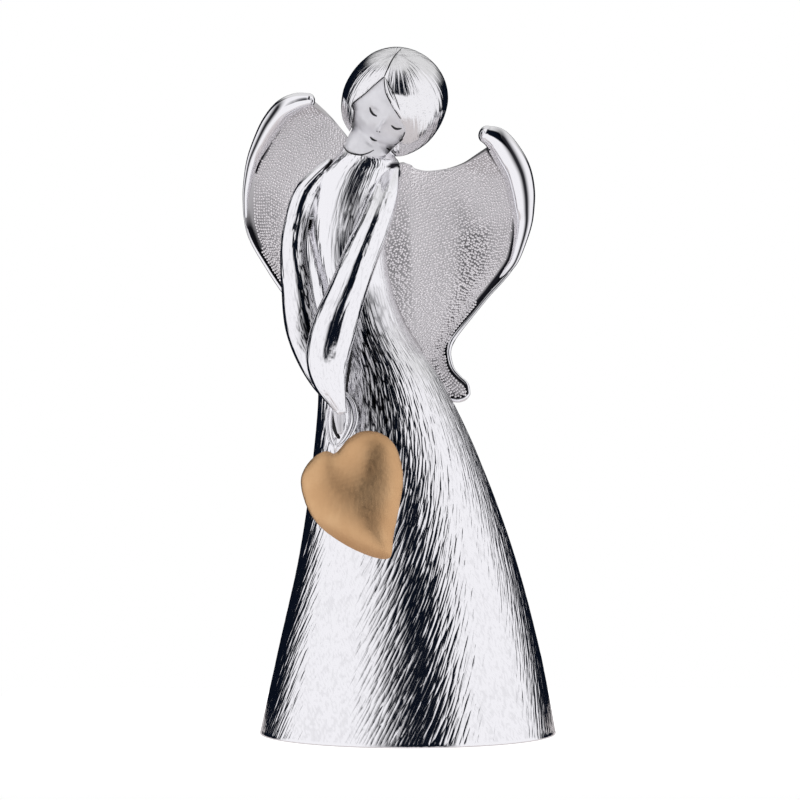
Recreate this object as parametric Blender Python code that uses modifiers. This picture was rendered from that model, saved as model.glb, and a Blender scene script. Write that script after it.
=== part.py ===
# Standing angel figurine: a bell-shaped dress with the base set into its rim, two crossed
# sleeves, a bowed head under bobbed hair, two swept wings on pegs, and a gold heart that
# hangs from a ribbon loop between the cuffs.
# Frame: metres, +Z up, the figure's front faces -Y, origin at the centre of the underside.
import math

import bpy
import bmesh
from mathutils import Matrix, Vector

MM = 0.001

# Driving dimensions, in millimetres.
GAP = 0.3                 # clearance between pieces that touch
WALL = 3.0                # thickness of the dress wall
CAVITY_TOP = 92.0         # height where the hollow in the skirt ends
RIM_BOTTOM = 0.4          # lower edge of the dress, round the felt
FELT_THICKNESS = 1.0
PLUG_TOP = 5.3
BALLAST_TOP = 30.0
PEG_RADIUS = 1.1
SLIM_PEG_RADIUS = 0.8
WING_THICKNESS = 2.0
WING_ROOT_RADIUS = 3.0
NECK_RADIUS = 5.8
HEAD_CENTRE = (-3.5, -2.0, 184.0)
HEAD_ROLL = math.radians(33.7)     # to the figure's left
HEAD_BOW = math.radians(27.0)
FACE_CENTRE = (-0.2, 3.2, -2.2)     # side, forward, up in the head's own axes
FACE_RADII = (10.2, 9.6, 11.2)
HEART_CENTRE = (-16.0, -26.4, 72.0)
HEART_HALF_THICKNESS = 4.4
HEART_LEAN = math.radians(13.0)    # top of the heart back, along the skirt
HEART_TURN = math.radians(12.0)    # left edge of the heart back, round the skirt
LOOP_PIN = (-19.2, 98.0)           # x and z of the pin, which lies along Y
LOOP_PIN_RADIUS = 0.6
LIFT_AXIS = (-20.6, -21.0, 84.6)   # the heart's eye turns here, about X
EYE_RADIUS = 2.0
EYE_WIRE = 0.4

# Dress: height, centre x, centre y, half width, half depth.
DRESS = (
    (0.4, 0.0, 0.0, 43.0, 38.0),
    (24.5, 0.3, 0.0, 38.0, 33.6),
    (53.6, -0.4, 0.0, 30.9, 27.5),
    (82.6, -3.8, 0.3, 23.5, 21.0),
    (103.0, -8.2, 0.8, 17.8, 16.0),
    (120.3, -14.7, 1.5, 13.1, 11.2),
    (140.6, -18.4, 2.0, 12.0, 9.5),
    (155.1, -16.5, 2.0, 12.5, 9.0),
    (162.3, -14.2, 1.5, 11.9, 8.0),
    (166.1, -12.6, 1.0, 10.0, 7.0),
    (168.6, -12.4, 1.2, 7.8, 6.0),
    (170.6, -12.5, 2.0, 6.6, 4.4),
    (171.8, -12.6, 2.6, 5.4, 3.0),
)

# Swept pieces: x, y, z, half width.
SLEEVE_RIGHT = (
    (-22.6, 0.5, 165.0, 2.4),
    (-29.2, -1.5, 157.3, 3.6),
    (-32.3, -4.0, 147.7, 3.6),
    (-33.1, -7.5, 139.0, 3.7),
    (-31.8, -11.5, 128.9, 4.5),
    (-30.0, -15.0, 118.8, 5.2),
    (-26.8, -17.5, 110.3, 5.2),
    (-23.4, -18.8, 102.6, 4.0),
    (-19.9, -19.4, 95.6, 1.6),
)
SLEEVE_LEFT = (
    (-5.6, -1.0, 163.0, 3.6),
    (-6.9, -5.0, 156.3, 4.4),
    (-9.8, -10.5, 147.5, 4.8),
    (-13.4, -15.0, 138.8, 5.1),
    (-17.1, -19.0, 128.8, 5.5),
    (-20.7, -22.0, 118.8, 6.4),
    (-22.7, -23.4, 110.3, 6.2),
    (-22.2, -23.6, 103.2, 4.9),
    (-19.0, -23.0, 94.6, 1.6),
)
HANDS = (
    (-21.0, -19.6, 104.0, 2.2),
    (-19.9, -19.3, 97.5, 2.0),
    (-19.6, -20.8, 92.0, 1.4),
    (-19.3, -22.0, 88.4, 0.8),
)
NECK = (
    (-12.9, 0.3, 163.0, NECK_RADIUS),
    (-12.9, 0.3, 169.0, NECK_RADIUS),
    (-11.6, 0.2, 174.0, NECK_RADIUS - 0.2),
    (-9.0, -0.5, 179.0, NECK_RADIUS - 0.6),
)
RIM_RIGHT = (
    (22.8, 9.0, 174.7, 2.6),
    (26.2, 10.0, 172.8, 3.8),
    (29.5, 11.0, 168.3, 4.3),
    (31.9, 12.0, 163.8, 4.3),
    (33.2, 13.0, 158.6, 4.1),
    (33.7, 14.0, 153.9, 3.6),
    (33.9, 15.0, 149.2, 2.8),
    (33.0, 16.0, 143.7, 2.0),
    (31.3, 16.0, 138.1, 1.3),
)
RIM_LEFT = (
    (-28.9, 12.0, 184.8, 2.1),
    (-32.5, 13.0, 184.1, 2.9),
    (-36.4, 14.0, 182.1, 3.2),
    (-40.0, 16.0, 178.1, 3.1),
    (-43.0, 18.0, 173.2, 2.6),
    (-45.7, 20.0, 167.7, 1.9),
    (-47.0, 21.0, 161.3, 1.3),
)

# Wing sheets: the four edges of each, root and outer edge from the tail up,
# tail and top edge from the root outwards.
WING_RIGHT = {
    "root": ((10.4, 10.4, 98.9), (1.2, 12.4, 110.1), (-4.7, 11.4, 120.4), (-8.8, 11.4, 132.2),
             (-11.1, 11.9, 143.9), (-11.1, 12.2, 155.6), (-9.6, 10.6, 164.3)),
    "outer": ((17.7, 10.0, 98.8), (17.4, 10.4, 101.2), (13.4, 11.5, 105.4), (12.1, 13.0, 109.8), (13.0, 14.5, 114.5),
              (22.1, 16.0, 126.3), (31.3, 16.5, 137.5), (34.9, 16.6, 151.4), (34.3, 15.8, 157.3),
              (32.5, 14.6, 163.2), (28.9, 13.0, 167.8), (24.0, 11.6, 171.2)),
    "tail": ((10.4, 10.4, 98.9), (12.2, 10.5, 97.6), (14.4, 10.2, 97.1), (16.4, 10.0, 97.5),
             (17.7, 10.0, 98.8)),
    "top": ((-9.6, 10.6, 164.3), (-1.4, 10.5, 166.4), (1.2, 12.5, 165.0), (5.1, 15.0, 164.2),
            (11.0, 17.5, 164.9), (16.0, 16.8, 166.4), (19.8, 14.6, 168.6), (24.0, 11.6, 171.2)),
}
WING_LEFT = {
    "root": ((-17.5, 17.0, 102.8), (-18.5, 14.9, 114.5), (-20.5, 14.0, 126.3), (-22.0, 13.5, 138.1),
             (-22.0, 12.9, 149.8), (-19.9, 11.4, 161.5), (-15.2, 10.2, 169.0)),
    "outer": ((-24.2, 17.0, 100.4), (-28.2, 18.0, 114.5), (-32.4, 19.5, 122.8), (-40.8, 21.5, 135.3),
              (-47.2, 22.5, 147.2), (-48.0, 22.3, 160.5), (-46.6, 21.4, 166.5), (-41.5, 18.3, 178.2),
              (-38.0, 16.6, 182.2), (-33.0, 14.8, 184.6), (-29.2, 13.6, 185.0)),
    "tail": ((-17.5, 17.0, 102.8), (-20.8, 17.5, 100.2), (-24.2, 17.0, 100.4)),
    "top": ((-15.2, 10.2, 169.0), (-17.6, 14.5, 173.9), (-21.7, 17.5, 179.1), (-25.9, 16.4, 182.8),
            (-29.2, 13.6, 185.0)),
}
# Wing pegs: name, x, z. They lie along Y from the wing's root into the torso.
WING_PEGS = (
    ("wing_right_peg_upper", -10.9, 152.0),
    ("wing_right_peg_lower", -8.0, 130.0),
    ("wing_left_peg_upper", -21.8, 152.0),
    ("wing_left_peg_lower", -20.9, 130.0),
)
WING_PEG_SPAN = (3.0, 12.6)        # y of the pegs' two ends

# Hair about the head's upright axis: height, half width, half depth, shift forward.
HAIR = (
    (15.0, 1.2, 1.2, -0.4),
    (13.9, 5.6, 5.8, -0.4),
    (11.4, 9.8, 10.2, -0.4),
    (7.8, 12.8, 13.3, -0.4),
    (3.8, 14.3, 14.8, -0.4),
    (-0.5, 14.9, 15.2, -0.4),
    (-5.0, 14.6, 14.6, -0.4),
    (-9.0, 13.2, 12.9, -0.4),
    (-12.2, 11.2, 10.8, -0.4),
    (-13.6, 9.4, 9.0, -0.4),
)
# Opening for the face, seen from the front: x and z, down the hairline, round the neck,
# up the cheek and the fringe.
FACE_OPENING = (
    (-8.8, 189.4), (-13.2, 185.9), (-17.2, 182.6), (-17.6, 180.0), (-19.6, 176.6),
    (-22.0, 170.0), (-14.0, 165.5), (-6.0, 168.6), (-3.9, 171.3), (-3.4, 173.4),
    (-4.6, 177.3), (-6.8, 182.4), (-8.4, 186.2),
)
OPENING_BACK = -5.0                # y where the opening for the face ends

# Heart outline, x and z from the heart's centre, from the notch round by the left lobe.
HEART = (
    (-4.6, 10.6), (-7.0, 11.3), (-10.6, 9.6), (-13.6, 5.8), (-14.4, 1.8), (-12.6, -4.6),
    (-9.2, -9.7), (-4.2, -13.6), (1.2, -16.6), (6.4, -18.6), (9.7, -18.5), (11.2, -16.4),
    (12.0, -12.4), (13.4, -5.4), (14.6, 2.0), (14.2, 7.4), (12.2, 13.0), (8.4, 16.2),
    (3.4, 16.9), (-0.8, 14.8),
)
# Ribbon loop: x, z and half width, down the right strip and up the left one.
LOOP = (
    (-17.3, 98.2, 0.9), (-15.9, 95.2, 1.25), (-15.6, 91.4, 1.3), (-17.0, 87.7, 1.15),
    (-18.9, 85.3, 0.75), (-20.6, 84.6, 0.5), (-21.9, 86.4, 0.85), (-22.6, 90.4, 1.0),
    (-22.3, 94.4, 0.9), (-21.2, 98.0, 0.8), (-19.4, 99.6, 0.8),
)
LOOP_TOP_Y = -15.6
LOOP_SLOPE = 0.36                  # how far the loop comes forward per unit of fall
LOOP_HALF_DEPTH = 0.65

MATERIALS = {                      # colour, roughness, metallic
    "silver": ((0.80, 0.80, 0.82), 0.12, 1.0),
    "satin_silver": ((0.72, 0.73, 0.75), 0.35, 0.9),
    "gold": ((0.76, 0.55, 0.32), 0.42, 1.0),
    "steel": ((0.55, 0.56, 0.58), 0.35, 1.0),
    "felt": ((0.05, 0.05, 0.06), 0.95, 0.0),
    "resin": ((0.85, 0.84, 0.80), 0.6, 0.0),
}


def read_rows(rows, key, closed=False):
    """A row between the given ones, on a smooth curve; key counts rows from 0."""
    count = len(rows)
    if closed:
        start = math.floor(key)
        near = [rows[(start + k) % count] for k in (-1, 0, 1, 2)]
    else:
        start = min(max(math.floor(key), 0), count - 2)
        near = [rows[min(max(start + k, 0), count - 1)] for k in (-1, 0, 1, 2)]
    t = key - start
    result = []
    for a, b, c, d in zip(*near):
        slope_b = (c - a) / 2
        slope_c = (d - b) / 2
        result.append(b * (1 + 2 * t) * (1 - t) ** 2 + slope_b * t * (1 - t) ** 2
                      + c * t * t * (3 - 2 * t) + slope_c * t * t * (t - 1))
    return result


def dress_at(height):
    """Centre x, centre y, half width and half depth of the dress at a height."""
    heights = [row[0] for row in DRESS]
    height = min(max(height, heights[0]), heights[-1])
    upper = next(k for k in range(1, len(heights)) if height <= heights[k])
    low, high = heights[upper - 1], heights[upper]
    t = (height - low) / (high - low)
    before = DRESS[max(upper - 2, 0)]
    after = DRESS[min(upper + 1, len(DRESS) - 1)]
    result = []
    for k in range(1, 5):
        b, c = DRESS[upper - 1][k], DRESS[upper][k]
        slope_b = (c - before[k]) / max(high - before[0], 1e-6) * (high - low)
        slope_c = (after[k] - b) / max(after[0] - low, 1e-6) * (high - low)
        result.append(b * (1 + 2 * t) * (1 - t) ** 2 + slope_b * t * (1 - t) ** 2
                      + c * t * t * (3 - 2 * t) + slope_c * t * t * (t - 1))
    return result


def dress_ring(height, grow, sides):
    """One ring of points round the dress at a height, moved outwards by grow."""
    x, y, width, depth = dress_at(height)
    ring = []
    for k in range(sides):
        angle = 2 * math.pi * k / sides
        ring.append(Vector((x + (width + grow) * math.cos(angle),
                            y + (depth + grow) * math.sin(angle), height)))
    return ring


def loft(name, rings, collection, closed=False):
    """A closed body through rings of equal size; the rings are unlike one another."""
    bm = bmesh.new()
    rows = [[bm.verts.new(point * MM) for point in ring] for ring in rings]
    pairs = list(zip(rows, rows[1:] + rows[:1])) if closed else list(zip(rows, rows[1:]))
    sides = len(rings[0])
    for low, high in pairs:
        for k in range(sides):
            n = (k + 1) % sides
            bm.faces.new((low[k], low[n], high[n], high[k]))
    if not closed:
        bm.faces.new(list(reversed(rows[0])))
        bm.faces.new(rows[-1])
    bmesh.ops.recalc_face_normals(bm, faces=bm.faces)
    return finish_mesh(name, bm, collection)


def finish_mesh(name, bm, collection):
    """Turns a bmesh into a smooth-shaded object in a collection."""
    if bm.calc_volume(signed=True) < 0:
        bmesh.ops.reverse_faces(bm, faces=bm.faces)
    mesh = bpy.data.meshes.new(name)
    bm.to_mesh(mesh)
    bm.free()
    mesh.shade_smooth()
    mesh.set_sharp_from_angle(angle=math.radians(40))
    thing = bpy.data.objects.new(name, mesh)
    collection.objects.link(thing)
    return thing


def sweep(name, rows, collection, sides=12, steps=2, depth=0.85, grow=0.0, closed=False):
    """An oval tube along x, y, z rows with a half width each; open ones get round ends."""
    count = len(rows)
    last = count if closed else count - 1
    keys = [k / steps for k in range(last * steps + (0 if closed else 1))]
    stations = []
    for key in keys:
        x, y, z, half = read_rows(rows, key, closed)
        ahead = Vector(read_rows(rows, key + 0.05 if closed else min(key + 0.05, last), closed)[:3])
        behind = Vector(read_rows(rows, key - 0.05 if closed else max(key - 0.05, 0), closed)[:3])
        stations.append((Vector((x, y, z)), (ahead - behind).normalized(), half + grow))
    if not closed:
        stations = round_end(stations[0], -1) + stations + round_end(stations[-1], 1)
    rings = []
    for centre, along, half in stations:
        side = along.cross(Vector((0, 1, 0))).normalized()
        out = side.cross(along).normalized()
        thick = depth(half) if callable(depth) else half * depth
        rings.append([centre + side * half * math.cos(2 * math.pi * k / sides)
                      + out * thick * math.sin(2 * math.pi * k / sides) for k in range(sides)])
    return loft(name, rings, collection, closed)


def round_end(station, way):
    """Three shrinking stations that round off an open tube's end."""
    centre, along, half = station
    extra = []
    for degrees in (30, 58, 80):
        angle = math.radians(degrees)
        place = centre + along * way * half * math.sin(angle) * 0.8
        extra.append((place, along, half * math.cos(angle)))
    return extra if way > 0 else list(reversed(extra))


def rod(name, start, end, radius, collection, sides=12):
    """A plain round pin between two points."""
    start, end = Vector(start) * MM, Vector(end) * MM
    bm = bmesh.new()
    bmesh.ops.create_cone(bm, cap_ends=True, segments=sides, radius1=radius * MM,
                          radius2=radius * MM, depth=(end - start).length)
    turn = (end - start).to_track_quat("Z", "Y").to_matrix().to_4x4()
    bmesh.ops.transform(bm, matrix=Matrix.Translation((start + end) / 2) @ turn, verts=bm.verts)
    return finish_mesh(name, bm, collection)


def boolean(thing, other, operation):
    """Adds an exact Boolean against a body in the cutters collection."""
    other.hide_render = True
    other.display_type = "WIRE"
    modifier = thing.modifiers.new(operation.lower() + "_" + other.name, "BOOLEAN")
    modifier.operation = operation
    modifier.solver = "EXACT"
    modifier.object = other


def paint(thing, slot):
    """Gives a piece its own Principled material."""
    colour, roughness, metallic = MATERIALS[slot]
    material = bpy.data.materials.new(thing.name + "_" + slot)
    material.use_nodes = True
    shader = material.node_tree.nodes["Principled BSDF"]
    shader.inputs["Base Color"].default_value = (*colour, 1.0)
    shader.inputs["Roughness"].default_value = roughness
    shader.inputs["Metallic"].default_value = metallic
    material.diffuse_color = (*colour, 1.0)
    thing.data.materials.clear()
    thing.data.materials.append(material)
    return thing


def dress_body(name, grow, bottom, top, steps, collection, sides=32):
    """The dress's outer form between two heights, moved outwards by grow."""
    heights = [bottom + (top - bottom) * k / steps for k in range(steps + 1)]
    return loft(name, [dress_ring(z, grow, sides) for z in heights], collection)


def dress_envelope(cutters):
    """The dress grown by the gap, which trims everything that lies against it."""
    heights = [60 + (DRESS[-1][0] - 60) * k / 18 for k in range(19)]
    rings = [dress_ring(z, GAP, 32) for z in heights]
    rings.append([point + Vector((0, 0, GAP)) for point in rings[-1]])
    return loft("dress_envelope", rings, cutters)


def make_dress(parts, cutters):
    """Hollow skirt and solid torso in one shell, open at the rim."""
    top = DRESS[-1][0]
    dress = dress_body("dress_shell", 0.0, RIM_BOTTOM, top, 24, parts)
    rings = [dress_ring(z, -WALL, 28) for z in (0.0, 16.0, 34.0, 52.0, 68.0, 82.0)]
    for share in (0.5, 0.8, 1.0):
        height = 82.0 + (CAVITY_TOP - 82.0) * share
        rings.append(dress_ring(height, -WALL - 12.0 * share ** 2, 28))
    hollow = loft("skirt_hollow", rings, cutters)
    boolean(dress, hollow, "DIFFERENCE")
    return paint(dress, "silver")


def make_base(parts):
    """Felt inside the rim, a resin plug on it and plaster ballast on the plug."""
    edge = dress_ring(RIM_BOTTOM, -WALL - GAP * 2, 32)
    felt_rings = [[Vector((p.x, p.y, z)) for p in edge] for z in (0.0, FELT_THICKNESS)]
    felt = paint(loft("felt_pad", felt_rings, parts), "felt")
    plug_rings = [dress_ring(z, -WALL - GAP * 1.6, 32) for z in (FELT_THICKNESS + GAP, PLUG_TOP)]
    plug = paint(loft("base_plug", plug_rings, parts), "resin")
    ballast_rings = [dress_ring(z, -WALL - GAP * 3, 32) for z in (PLUG_TOP + GAP, 18.0, BALLAST_TOP)]
    ballast = paint(loft("ballast", ballast_rings, parts), "resin")
    return felt, plug, ballast


def make_sleeves(parts, cutters, envelope):
    """Right sleeve hugging the side, left sleeve crossing over it in front."""
    right = sweep("sleeve_right", SLEEVE_RIGHT, parts, steps=2)
    left = sweep("sleeve_left", SLEEVE_LEFT, parts, steps=2)
    grown_left = sweep("sleeve_left_grown", SLEEVE_LEFT, cutters, steps=2, grow=GAP)
    boolean(right, envelope, "DIFFERENCE")
    boolean(left, envelope, "DIFFERENCE")
    boolean(right, grown_left, "DIFFERENCE")
    return paint(right, "silver"), paint(left, "silver"), grown_left


def make_hands(parts, cutters, grown_left):
    """Joined fingers that reach down out of the cuffs."""
    hands = sweep("hands", HANDS, parts, sides=12, steps=2, depth=0.8)
    grown_right = sweep("sleeve_right_grown", SLEEVE_RIGHT, cutters, steps=2, grow=GAP)
    boolean(hands, grown_left, "DIFFERENCE")
    boolean(hands, grown_right, "DIFFERENCE")
    return paint(hands, "satin_silver")


def head_matrix():
    """From the head's axes (side, forward, up) to the figure's, in millimetres."""
    roll, bow = HEAD_ROLL, HEAD_BOW
    side = Vector((math.cos(roll), 0, -math.sin(roll)))
    up = Vector((math.sin(roll) * math.cos(bow), -math.sin(bow), math.cos(roll) * math.cos(bow)))
    forward = Vector((-math.sin(roll) * math.sin(bow), -math.cos(bow), -math.cos(roll) * math.sin(bow)))
    turn = Matrix((side, forward, up)).transposed().to_4x4()
    return Matrix.Translation(Vector(HEAD_CENTRE)) @ turn


def face_body(name, grow, collection):
    """The egg-shaped head without its neck."""
    bm = bmesh.new()
    bmesh.ops.create_uvsphere(bm, u_segments=22, v_segments=14, radius=1.0)
    radii = [value + grow for value in FACE_RADII]
    placing = head_matrix() @ Matrix.Translation(Vector(FACE_CENTRE)) @ Matrix.Diagonal((*radii, 1.0))
    for vert in bm.verts:
        vert.co = (placing @ vert.co) * MM
    return finish_mesh(name, bm, collection)


def make_head(parts, cutters, envelope):
    """Head and neck in one piece, seated on the shoulders."""
    head = face_body("head", 0.0, parts)
    boolean(head, sweep("neck", NECK, cutters, sides=16, depth=1.0), "UNION")
    boolean(head, envelope, "DIFFERENCE")
    return paint(head, "satin_silver")


def make_hair(parts, cutters, envelope):
    """Bobbed hair as a shell round the head, open at the face."""
    to_figure = head_matrix()
    rings = []
    for step in range(len(HAIR)):
        height, width, depth, shift = HAIR[step]
        angles = [2 * math.pi * k / 24 for k in range(24)]
        rings.append([to_figure @ Vector((width * math.cos(a), shift + depth * math.sin(a), height))
                      for a in angles])
    hair = loft("hair_cap", rings, parts)
    boolean(hair, face_body("head_grown", GAP, cutters), "DIFFERENCE")
    boolean(hair, sweep("neck_grown", NECK, cutters, sides=16, depth=1.0, grow=GAP), "DIFFERENCE")
    front = [Vector((x, -40.0, z)) for x, z in FACE_OPENING]
    back = [Vector((x, OPENING_BACK, z)) for x, z in FACE_OPENING]
    boolean(hair, loft("face_opening", [front, back], cutters), "DIFFERENCE")
    boolean(hair, envelope, "DIFFERENCE")
    return paint(hair, "silver")


def wing_sheet(name, edges, collection, across=8, along=18):
    """A curved sheet spanned by its four edges and thickened both ways."""
    bm = bmesh.new()
    bmesh.ops.create_grid(bm, x_segments=across, y_segments=along, size=1.0)
    corner = {key: Vector(edges[key[0]][key[1]]) for key in
              (("root", 0), ("root", -1), ("outer", 0), ("outer", -1))}
    for vert in bm.verts:
        u, v = (vert.co.x + 1) / 2, (vert.co.y + 1) / 2
        root = edge_point(edges["root"], v)
        outer = edge_point(edges["outer"], v)
        tail = edge_point(edges["tail"], u)
        top = edge_point(edges["top"], u)
        low = corner[("root", 0)] * (1 - u) + corner[("outer", 0)] * u
        high = corner[("root", -1)] * (1 - u) + corner[("outer", -1)] * u
        spot = root * (1 - u) + outer * u + tail * (1 - v) + top * v - low * (1 - v) - high * v
        vert.co = spot * MM
    mesh = bpy.data.meshes.new(name)
    bm.to_mesh(mesh)
    bm.free()
    sheet = bpy.data.objects.new(name, mesh)
    collection.objects.link(sheet)
    thick = sheet.modifiers.new("thickness", "SOLIDIFY")
    thick.thickness = WING_THICKNESS * MM
    thick.offset = 0.0
    return sheet


def edge_point(points, share):
    """The point at a share of the way along an edge's curve, measured by length."""
    lengths = [0.0]
    for a, b in zip(points, points[1:]):
        lengths.append(lengths[-1] + (Vector(b) - Vector(a)).length)
    goal = share * lengths[-1]
    k = next(n for n in range(1, len(lengths)) if goal <= lengths[n] + 1e-9)
    inside = (goal - lengths[k - 1]) / (lengths[k] - lengths[k - 1])
    return Vector(read_rows(points, k - 1 + inside))


def make_wing(name, edges, rim, parts, cutters, envelope):
    """Sheet, rolled rim and thick root joined, then trimmed to the dress."""
    wing = wing_sheet(name, edges, parts)
    boolean(wing, sweep(name + "_rim", rim, cutters, sides=12, steps=2, depth=0.95), "UNION")
    root_rows = [(x + 0.37, y + 0.43, z + 0.29, WING_ROOT_RADIUS) for x, y, z in edges["root"][1:-1]]
    boolean(wing, sweep(name + "_root", root_rows, cutters, sides=12, steps=2, depth=1.0), "UNION")
    boolean(wing, envelope, "DIFFERENCE")
    return paint(wing, "silver")


def add_peg(name, start, end, radius, holes_in, parts, cutters):
    """A pin with a hole, wider by the gap all round, in each piece it joins."""
    way = (Vector(end) - Vector(start)).normalized() * GAP
    hole = rod(name + "_hole", Vector(start) - way, Vector(end) + way, radius + GAP, cutters)
    for piece in holes_in:
        boolean(piece, hole, "DIFFERENCE")
    return paint(rod(name, start, end, radius, parts), "steel")


def make_loop(parts):
    """Closed ribbon loop that hangs on its pin and comes forward as it falls."""
    rows = []
    for x, z, half in LOOP:
        rows.append((x, LOOP_TOP_Y - (LOOP[-1][1] - z) * LOOP_SLOPE, z, half))
    loop = sweep("ribbon_loop", rows, parts, sides=8, steps=3,
                 depth=lambda half: LOOP_HALF_DEPTH, closed=True)
    return paint(loop, "silver")


def heart_point(x, z, thickness):
    """From the heart's own outline plane to the figure's frame."""
    depth = thickness + z * math.tan(HEART_LEAN) - x * math.tan(HEART_TURN)
    return Vector((x, depth, z)) + Vector(HEART_CENTRE)


def make_heart(parts, cutters):
    """Pillow-shaped heart: its outline shrinks towards the front and back poles."""
    around = 34
    outline = [read_rows(HEART, len(HEART) * k / around, closed=True) for k in range(around)]
    rings = []
    for step in range(11):
        angle = math.radians(-86 + 172 * step / 10)
        shrink = math.cos(angle) ** 0.85
        offset = HEART_HALF_THICKNESS * math.sin(angle)
        rings.append([heart_point(x * shrink, z * shrink, offset) for x, z in outline])
    heart = loft("heart", rings, parts)
    boolean(heart, eye_ring("heart_eye_seat", EYE_WIRE + GAP, cutters), "DIFFERENCE")
    return paint(heart, "gold")


def eye_ring(name, wire, collection):
    """The small ring, in the YZ plane, that links the heart to the loop."""
    centre = Vector(LIFT_AXIS) * MM
    bpy.ops.mesh.primitive_torus_add(major_segments=16, minor_segments=6,
                                     major_radius=EYE_RADIUS * MM, minor_radius=wire * MM,
                                     location=centre, rotation=(0, math.pi / 2, 0))
    ring = bpy.context.object
    ring.name = name
    ring.data.shade_smooth()
    for owner in list(ring.users_collection):
        owner.objects.unlink(ring)
    collection.objects.link(ring)
    return ring


def hang(name, place, pieces, parts):
    """An empty on a joint's axis that carries the pieces which turn about it."""
    empty = bpy.data.objects.new(name, None)
    empty.location = Vector(place) * MM
    parts.objects.link(empty)
    for piece in pieces:
        piece.parent = empty
        piece.matrix_parent_inverse = Matrix.Translation(-Vector(place) * MM)
    return empty


def build():
    for thing in list(bpy.data.objects):
        bpy.data.objects.remove(thing, do_unlink=True)
    parts = bpy.data.collections.new("angel_figurine")
    cutters = bpy.data.collections.new("cutters")
    bpy.context.scene.collection.children.link(parts)
    bpy.context.scene.collection.children.link(cutters)

    envelope = dress_envelope(cutters)
    dress = make_dress(parts, cutters)
    make_base(parts)
    right, left, grown_left = make_sleeves(parts, cutters, envelope)
    hands = make_hands(parts, cutters, grown_left)
    head = make_head(parts, cutters, envelope)
    make_hair(parts, cutters, envelope)
    wing_right = make_wing("wing_right", WING_RIGHT, RIM_RIGHT, parts, cutters, envelope)
    wing_left = make_wing("wing_left", WING_LEFT, RIM_LEFT, parts, cutters, envelope)
    for name, x, z in WING_PEGS:
        wing = wing_right if "right" in name else wing_left
        near, far = WING_PEG_SPAN
        add_peg(name, (x, near, z), (x, far, z), PEG_RADIUS, (dress, wing), parts, cutters)
    add_peg("neck_peg", (-12.8, 1.6, 160.0), (-12.4, 1.4, 176.0), PEG_RADIUS, (dress, head), parts, cutters)
    add_peg("sleeve_right_peg", (-24.0, -2.6, 150.0), (-33.0, -3.4, 150.0), SLIM_PEG_RADIUS,
            (dress, right), parts, cutters)
    add_peg("sleeve_left_peg", (-8.6, 1.0, 152.0), (-8.6, -10.0, 152.0), SLIM_PEG_RADIUS,
            (dress, left), parts, cutters)
    x, z = LOOP_PIN
    add_peg("loop_pin", (x, -8.0, z), (x, -18.2, z), LOOP_PIN_RADIUS, (dress, hands, right), parts, cutters)
    loop = make_loop(parts)
    heart = make_heart(parts, cutters)
    eye = paint(eye_ring("heart_eye", EYE_WIRE, parts), "silver")
    swing = hang("loop_axis", (x, LOOP_TOP_Y, z), [loop], parts)
    lift = hang("heart_axis", LIFT_AXIS, [heart, eye], parts)
    lift.parent = swing
    lift.matrix_parent_inverse = Matrix.Translation(-Vector((x, LOOP_TOP_Y, z)) * MM)


build()
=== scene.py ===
# Silver-laminated angel with a gold heart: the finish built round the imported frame.
# Shape tables are in millimetres, as in the part, and mm turns them into the frame's metres.
import math

import bmesh
import bpy
import numpy as np
from mathutils import Matrix, Vector
from mathutils.bvhtree import BVHTree
from mathutils.kdtree import KDTree


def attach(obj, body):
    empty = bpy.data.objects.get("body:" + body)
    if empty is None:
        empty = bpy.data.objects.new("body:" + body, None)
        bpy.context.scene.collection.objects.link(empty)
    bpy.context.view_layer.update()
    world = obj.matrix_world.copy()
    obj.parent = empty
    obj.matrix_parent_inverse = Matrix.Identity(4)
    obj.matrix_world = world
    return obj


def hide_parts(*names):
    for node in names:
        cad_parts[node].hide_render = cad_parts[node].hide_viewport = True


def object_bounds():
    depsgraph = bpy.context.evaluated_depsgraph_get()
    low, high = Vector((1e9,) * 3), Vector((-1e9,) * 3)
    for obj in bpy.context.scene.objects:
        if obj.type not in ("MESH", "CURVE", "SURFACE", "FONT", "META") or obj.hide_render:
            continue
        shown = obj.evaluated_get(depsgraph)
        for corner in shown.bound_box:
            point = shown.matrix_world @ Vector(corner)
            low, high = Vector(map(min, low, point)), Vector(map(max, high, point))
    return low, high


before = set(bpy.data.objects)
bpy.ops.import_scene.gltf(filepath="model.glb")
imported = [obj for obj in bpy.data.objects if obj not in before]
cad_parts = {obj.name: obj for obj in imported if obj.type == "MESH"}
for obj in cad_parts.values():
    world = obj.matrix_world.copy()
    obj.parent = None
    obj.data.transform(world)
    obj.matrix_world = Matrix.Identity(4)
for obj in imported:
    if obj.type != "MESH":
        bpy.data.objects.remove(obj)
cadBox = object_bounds()
nominalHeight = 199.24
mm = (cadBox[1].z - cadBox[0].z) / nominalHeight
figure, loopBody, pendant = "figure", "loop", "pendant"


def between(start, end, leave, arrive, t):
    # smooth step from start to end that leaves and arrives at the given rates
    return (start * (1 + 2 * t) * (1 - t) ** 2 + leave * t * (1 - t) ** 2
            + end * t * t * (3 - 2 * t) + arrive * t * t * (t - 1))


def alongRows(rows, keys, closed=False):
    # smooth curve through the rows; keys count rows from 0
    rows = np.asarray(rows, float)
    count = len(rows)
    keys = np.asarray(keys, float)
    if closed:
        base = np.floor(keys).astype(int)
        near = [rows[(base + k) % count] for k in (-1, 0, 1, 2)]
    else:
        base = np.clip(np.floor(keys).astype(int), 0, count - 2)
        near = [rows[np.clip(base + k, 0, count - 1)] for k in (-1, 0, 1, 2)]
    t = (keys - base)[..., None]
    a, b, c, d = near
    return between(b, c, (c - a) / 2, (d - b) / 2, t)


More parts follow.
